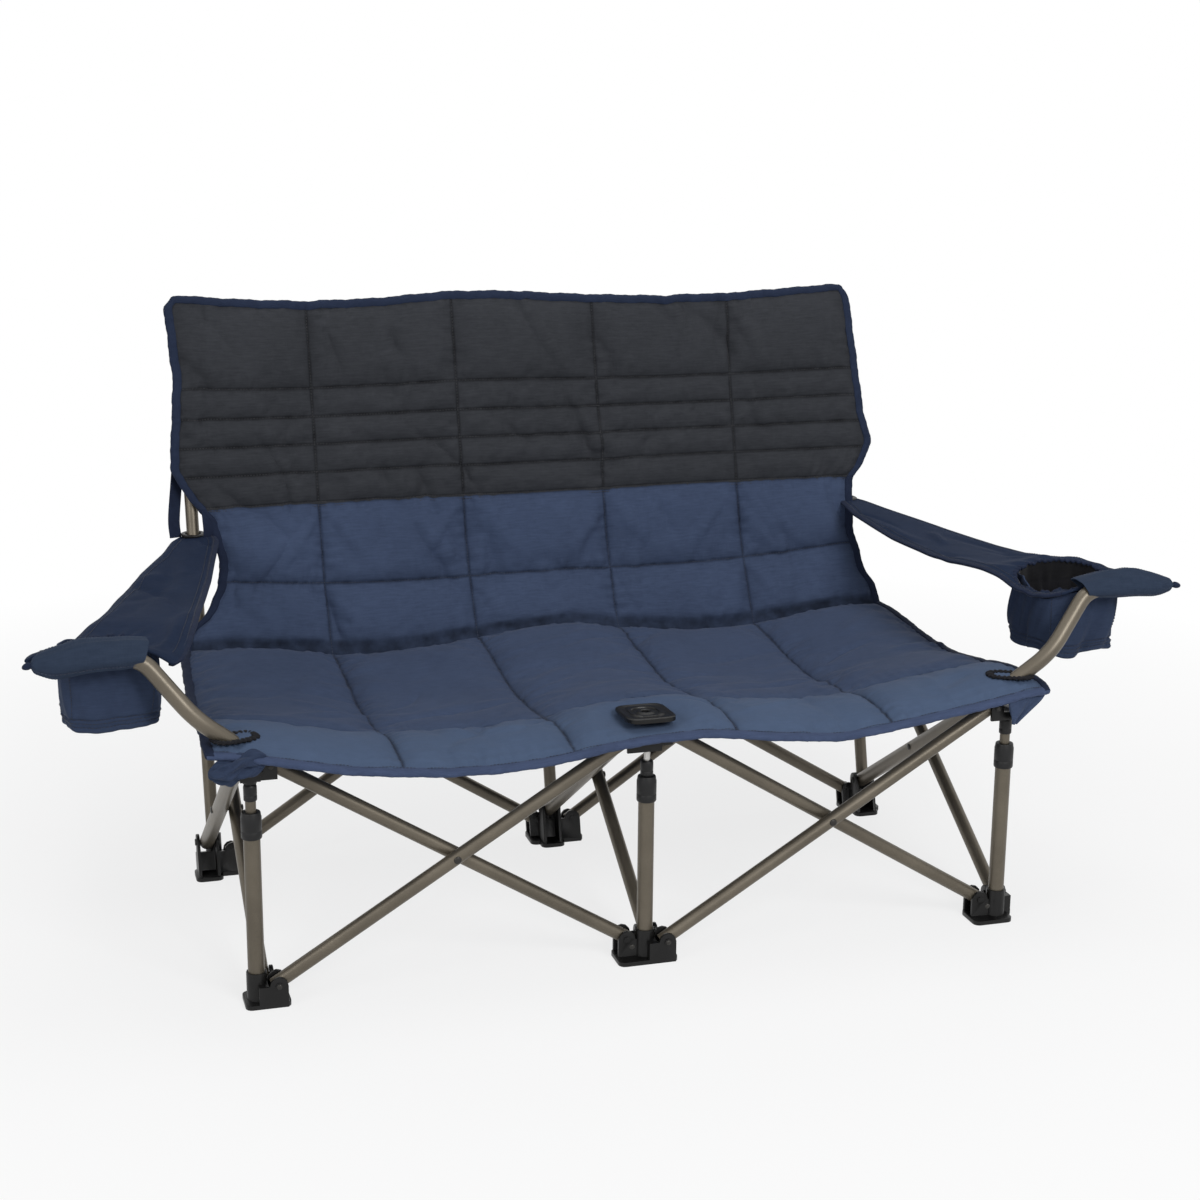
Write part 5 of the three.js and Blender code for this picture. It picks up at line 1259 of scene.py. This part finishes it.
def pouch(side, out, place, seed):
    """Cup pouch: a sewn bag below the hole with a bottom band, and a black lining that hangs inside it."""
    some = np.random.default_rng(seed + 40)
    turn = circle(200)
    phase = some.uniform(0, 6, 8)
    crumple = 0.0013 if out < 0 else 0.0034
    px, py = POUCH[side]
    cx, cy, wide, deep = CUP[side]

    def wall(shares, bulge, inset, top, bottom):
        """Rings down the bag, each a rounded square that is a little fuller halfway, and its floor."""
        rings = []
        for share in shares:
            size = 0.0615 + bulge * np.sin(np.pi * share) - 0.0015 * share
            x, y = (size * way for way in superellipse(turn, 5))
            ripple = crumple * share ** 1.5 * (np.sin(3 * turn + phase[0] + 4 * share) + np.sin(7 * turn + phase[1])
                                               + 0.7 * np.sin(11 * turn + phase[2] + 6 * share))
            ripple = ripple + 0.0008 * np.sin(19 * turn + phase[6] + 9 * share)
            seam = -0.0022 * np.exp(-((share - 0.86) / 0.018) ** 2) - 0.0010 * np.exp(-((share - 0.95) / 0.02) ** 2)
            grow = 1 - inset / 0.06 + (ripple + seam) / 0.06
            z = top + (bottom - top) * share + crumple * 1.3 * share ** 3 * np.sin(4 * turn + phase[3])
            rings.append(np.stack([px + x * grow, py + y * grow, np.broadcast_to(z, x.shape)], 1))
        rings = np.array(rings)
        centre = rings[-1].mean(axis=0)
        shrink = np.array([0.985, 0.95, 0.86, 0.6, 0.3, 0.05])[:, None, None]
        drop = np.array([0.0022, 0.0040, 0.0050, 0.0054, 0.0054, 0.0054])[:, None, None] * [0, 0, 1]
        return np.vstack([rings, centre + (rings[-1] - centre)[None] * shrink - drop])

    def hang(ring):
        """The pouch's top follows the cloth it is sewn to."""
        depth = sheet_height(ring[..., 0], ring[..., 1], side, seed) - 0.0035 - POUCH_TOP
        share = np.clip((ring[..., 2] - POUCH_LOW) / (POUCH_TOP - POUCH_LOW), 0, 1)
        ring[..., 2] += depth * share ** 2
        return ring

    outer, inner = (hang(wall(np.linspace(0, 1, 70), 0.0020, inset, POUCH_TOP, POUCH_LOW)) for inset in (0.0, 0.0018))
    inner[-6:, :, 2] += 0.0016
    around = lengths(outer[5])
    flat_rows = lambda shell: np.stack(np.meshgrid(around, np.linspace(0, 0.4, len(shell))), -1).reshape(-1, 2)
    shell, faces = double_shell(outer, inner)
    bag = place("cup_pouch_{}_bag", (shell, faces), pouch_navy_painted_shade, flat=flat_rows(shell))
    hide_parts(f"cup_pouch_{side}")
    outwards = lambda ring: unit((ring - ring.mean(axis=0)) * [1, 1, 0])
    lines = [tuple(np.vstack([k, k[:1]]) for k in (outer[i], outwards(outer[i]))) for i in (59, 62, 66)]
    lines += [(outer[3:60, j], np.broadcast_to(outwards(outer[10])[j], (57, 3))) for j in (27, 73, 127, 173)]
    place("cup_pouch_{}_stitching", stitches(lines), dark_thread, crease=80)
    # Lining: from the elastic rim out to the bag's wall and down to its floor
    x, y = cx + (wide - 0.002) * np.cos(turn), cy + (deep - 0.002) * np.sin(turn)
    rim = np.stack([x, y, sheet_height(x, y, side, seed) - 0.0015], 1)
    down = wall(np.linspace(0.10, 0.97, 40), 0.0, 0.004, 0.4605, 0.3765)
    pleat = (0.0042 * np.sin(9 * turn + phase[4]) + 0.0030 * np.sin(5 * turn + phase[5])
             + 0.0016 * np.sin(17 * turn + phase[7]))
    down[:, :, :2] += (unit(down - down.mean(axis=1, keepdims=True))[:, :, :2]
                       * (-np.abs(pleat)[None, :, None] * np.sin(np.linspace(0.3, 3.0, len(down)))[:, None, None]))
    neck = rim + (down[0] - rim) * np.array([0.0, 0.3, 0.6, 0.85])[:, None, None]
    near_side = np.vstack([neck, down])
    far_side = near_side - unit(near_side.mean(axis=1, keepdims=True) - near_side) * 0.0008
    far_side[-6:, :, 2] -= 0.0006
    shell, faces = double_shell(near_side, far_side)
    place("cup_pouch_{}_lining", (shell, faces), lining, flat=flat_rows(shell))


armrest("left", 31)
armrest("right", 57)

# ---------------------------------------------------------------- straps, corner slots and flaps
RIBBON = [(-0.009, -0.0008), (0.009, -0.0008), (0.0094, 0), (0.009, 0.0008), (-0.009, 0.0008), (-0.0094, 0)]


def ribbon(points, across):
    """A flat strap through points; across gives its width's direction."""
    path = curve(points, 0.004)
    tangent = unit(np.gradient(path, axis=0))
    wide = unit(np.asarray(across) - tangent * (tangent @ np.asarray(across))[:, None])
    return carried(path, wide, np.cross(tangent, wide), RIBBON)


behind = rear_base[1] + (0.60 - FOOT_PIN) * math.tan(LEAN) - 0.006
STRAPS = {
    "left": [[(-0.545, behind, 0.612), (-0.551, behind - 0.002, 0.560), (-0.557, 0.606, 0.515),
              (-0.556, 0.600, 0.489)],
             [(-0.520, behind - 0.004, 0.600), (-0.510, behind - 0.018, 0.552), (-0.508, 0.584, 0.512),
              (-0.508, 0.580, 0.491)]],
    "right": [[(0.534, behind + 0.022, 0.612), (0.535, behind + 0.006, 0.560), (0.537, 0.618, 0.515),
               (0.538, 0.610, 0.489)]]}
for side, straps in STRAPS.items():
    parts = [ribbon(points, (0.9, 0.3, 0)) for points in straps]
    attach(put_solid(f"armrest_straps_{side}", parts, dark_tape, crease=50), f"rear_foot_{side}")


def slot_ring(centre, along, across, normal):
    """A stitched band round a slot, raised and flattened, its path a superellipse of 56 by 27 mm."""
    turn = circle(120)
    c, s = superellipse(turn, 3)
    path = centre + 0.028 * c[:, None] * along + 0.0135 * s[:, None] * across
    tangent = unit(np.roll(path, -1, axis=0) - np.roll(path, 1, axis=0))
    teeth = (1 + 0.22 * np.sign(np.sin(turn * 26)))[:, None, None]
    profile = ellipse(10, 0.0050, 0.0022)
    ring = (path[:, None] + profile[None, :, :1] * teeth * np.cross(tangent, normal)[:, None]
            + profile[None, :, 1:] * teeth * normal)
    return ring, ring_faces(len(path), 10, closed_run=True)


for side, centre_x in (("left", -0.546), ("right", 0.5365)):
    out = math.copysign(1, centre_x)
    j = near(seat_columns, [out * 0.548])[0]
    i = near(seat_middle[:, j, 1], [0.008])[0]
    normal = seat_normal[i, j]
    way = np.array([out, -0.42, -0.05])
    along = unit(way - normal * (normal @ way))
    ring = slot_ring(np.array([centre_x, 0.008, seat_top[i, j, 2] + 0.001]), along, np.cross(normal, along), normal)
    fold_seat(put_solid(f"seat_slot_{side}", [ring], webbing, crease=60), side)

# Corner cloth: gathered into a bunch in front of the left hub, and hanging in a point at the right one
BUNCH = np.array([-0.5470, -0.0250, 0.3375])
tilt = np.linspace(0, np.pi, 40)
outline = np.stack([0.0155 * np.sin(tilt) ** 0.8, -0.038 * np.cos(tilt)], 1)
outline[[0, -1], 0] = 0
points, faces = turned(outline, BUNCH, np.array([1, 0.06, 0.10]), 96)
away = points - BUNCH
around = np.arctan2(away[:, 2], away[:, 1])
folds = (0.0044 * np.sin(3 * around + 70 * away[:, 0]) + 0.0034 * np.sin(5 * around - 110 * away[:, 0] + 1)
         + 0.0018 * np.sin(9 * around + 160 * away[:, 0] + 2))
swell = 1 + folds / 0.017 * np.clip(np.hypot(away[:, 1], away[:, 2]) / 0.008, 0, 1)
points = BUNCH + away * np.stack([np.ones(len(swell)), 0.85 * swell, swell], 1)
points[:, 2] -= 60 * np.clip(points[:, 0] + 0.535, -0.02, 0) ** 2 * 0.3
flat = np.stack([away[:, 0], around * 0.017], 1)
# Painted shade: the bunch takes the pouches' darker cloth
piece = put_solid("seat_corner_bunch_left", [(points, faces)], pouch_navy_painted_shade, flat=flat, crease=70)
attach(piece, "hub_left")
u, v = np.meshgrid(np.linspace(0, 1, 40), np.linspace(0, 1, 30))
POINT_TOP = np.array([(0.5130, -0.038, 0.336), (0.5860, -0.014, 0.342)])
POINT_LOW = np.array([(0.5215, -0.037, 0.304), (0.5285, -0.034, 0.304)])
top_line, low_line = (start + u[..., None] * (end - start) for start, end in (POINT_TOP, POINT_LOW))
flap = top_line + (low_line - top_line) * v[..., None]
flap[..., 1] += 0.0024 * np.sin(11 * u + 3 * v) * smooth(v / 0.3) - 0.003 * np.sin(np.pi * v)
normal = surface_normals(flap)
points, faces = slab(flap + normal * 0.0014, flap - normal * 0.0014)
flat = np.vstack([np.stack([u * 0.055, v * 0.036], -1).reshape(-1, 2)] * 2)
piece = put_solid("seat_corner_point_right", [(points, faces)], navy, flat=flat, crease=60)
attach(piece, "hub_right")


def rivet_head(centre, axis, radius=0.0036, height=0.0016):
    """A low dome with a flat foot."""
    dome = np.linspace(0, np.pi / 2, 6)
    outline = [(0.0, height)] + [(radius * math.sin(t), height * math.cos(t)) for t in dome[1:]] + [(0, -0.0008)]
    outline.insert(-1, (radius * 0.98, -0.0008))
    return turned(outline, centre, axis, 20)


EARS = {"left": (1,), "centre": (-1, 1), "right": (-1,)}
FRONT_FACE = -0.0273  # of the feet and the middle hub
for side, x in SIDES.items():
    for node, z in ((f"front_foot_{side}", FOOT_PIN), (f"front_hub_{side}", HUB_PIN)):
        outer_hub = node in ("front_hub_left", "front_hub_right")
        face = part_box(node)[0][1] - POST_LINE - 0.0002 if outer_hub else FRONT_FACE
        heads = [rivet_head(np.array([x + way * PIN, face, z]), np.array([0, -1.0, 0])) for way in EARS[side]]
        piece = put_solid(f"{node}_rivet_heads", heads, blackened, crease=40)
        attach(piece, body_of(frame["nodes"][node])[0])

# Seat plate: an oval boss with two rings and a hole in a rounded square, drawn from its middle outwards
rings, heights = np.array([
    (0.16, -3.0), (0.17, 0.0), (0.22, 1.2), (0.30, 1.0), (0.36, -0.6), (0.38, -0.8), (0.44, -0.8), (0.50, -0.6),
    (0.52, 0.9), (0.56, 1.0), (0.64, 0.9), (0.66, -0.2), (0.72, -0.3), (0.84, -0.3), (0.88, 0.5), (0.92, 0.6),
    (0.97, 0.3), (1.0, -0.6), (1.0, -3.6)]).T[:, :, None]
c, s = superellipse(circle(144), 2 + 3.2 * rings ** 2)
plate_x, plate_y = rings * 0.0345 * c, rings * 0.0400 * s
top_z = plate_top - 0.0012
plate = np.stack([plate_x, PLATE_MIDDLE + plate_y, top_z + heights / 1000 - 0.05 * plate_y], -1)
under = plate[[-1, 0]].copy()
under[..., 2] = top_z - 0.0042
plate = np.vstack([plate, under])
plate = (plate, ring_faces(len(plate), 144, closed_run=True))
stand_for(put_solid("seat_plate_moulded", [plate], black, crease=50), "seat_plate")

# ---------------------------------------------------------------- camera, light and floor
def stand_at(obj, x, y, z, place):
    """Links an object, with the directions of its axes and its place."""
    bpy.context.scene.collection.objects.link(obj)
    pose = np.eye(4)
    pose[:3] = np.stack([x, y, z, place], 1)
    obj.matrix_world = Matrix(pose)


camera = bpy.data.objects.new("camera", bpy.data.cameras.new("camera"))
camera.data.lens = 64.294
camera.data.sensor_width = 36
camera.data.clip_end = 60
yaw, pitch, roll = 0.2892, 0.2576, 0.0082
forward = np.array([math.sin(yaw) * math.cos(pitch), math.cos(yaw) * math.cos(pitch), -math.sin(pitch)])
level = np.array([math.cos(yaw), -math.sin(yaw), 0])
steep = np.cross(level, forward)
right = math.cos(roll) * level + math.sin(roll) * steep
over = -math.sin(roll) * level + math.cos(roll) * steep
stand_at(camera, right, over, -forward, (-0.8392, -2.5935 + POST_LINE, 1.2252))
bpy.context.scene.camera = camera


AIM = (0, 0, 0.4)
for name, place, size, watts in (("key softbox", (0.9, -3.3, 2.5), 1.7, 74),
                                 ("side softbox", (-2.9, -1.9, 1.8), 1.6, 26),
                                 ("top softbox", (0.4, 0.3, 3.2), 2.0, 20)):
    light = bpy.data.lights.new(name, "AREA")
    light.shape = "DISK"
    light.size = size
    light.energy = watts
    z = unit(np.array(place) - AIM)
    x = unit(np.cross(up, z))
    stand_at(bpy.data.objects.new(name, light), x, np.cross(z, x), z, place)

world = bpy.data.worlds.new("studio")
bpy.context.scene.world = world
world.use_nodes = True
sky = Nodes(world.node_tree)
sky.tree.nodes.clear()
ray = sky.node("LightPath").outputs
seen = sky.maths("MAXIMUM", ray["Is Camera Ray"], ray["Is Glossy Ray"])
seen = sky.maths("MAXIMUM", seen, ray["Is Transmission Ray"])
room = sky.node("Background", Color=(0.95, 0.97, 1.0, 1), Strength=0.26).outputs[0]
white = sky.node("Background", Color=(1, 1, 1, 1), Strength=1.0).outputs[0]
sky.node("OutputWorld", Surface=sky.node("MixShader", i0=seen, i1=room, i2=white).outputs[0])

# Floor: pale, and fading to white well away from the chair
turn = circle(96)
disc = np.stack([14 * np.cos(turn), 14 * np.sin(turn) - POST_LINE, np.full(turn.shape, -0.0005)], 1)
f = Finish("pale floor", 0.9, specular=0.2)
f.shader.inputs["Base Color"].default_value = (0.86, 0.86, 0.86, 1)
distance = f.node("VectorMath", {"operation": "LENGTH"}, i0=f.place).outputs["Value"]
open_white = f.maths("ADD", 0.78, f.part(f.ramp(distance, 0.7, 2.0), 0.22))
glow = f.node("Emission", Color=(1, 1, 1, 1), Strength=1.0).outputs[0]
ray = f.node("LightPath").outputs
share = f.maths("MULTIPLY", open_white, f.maths("MAXIMUM", ray["Is Camera Ray"], ray["Is Glossy Ray"]))
mixed = f.node("MixShader", i0=share, i1=f.shader.outputs[0], i2=glow)
f.tree.links.new(mixed.outputs[0], f.tree.nodes["Material Output"].inputs["Surface"])
floor = put_mesh("floor", disc, [list(range(96))], f.material)

bpy.context.scene.view_settings.view_transform = "Standard"
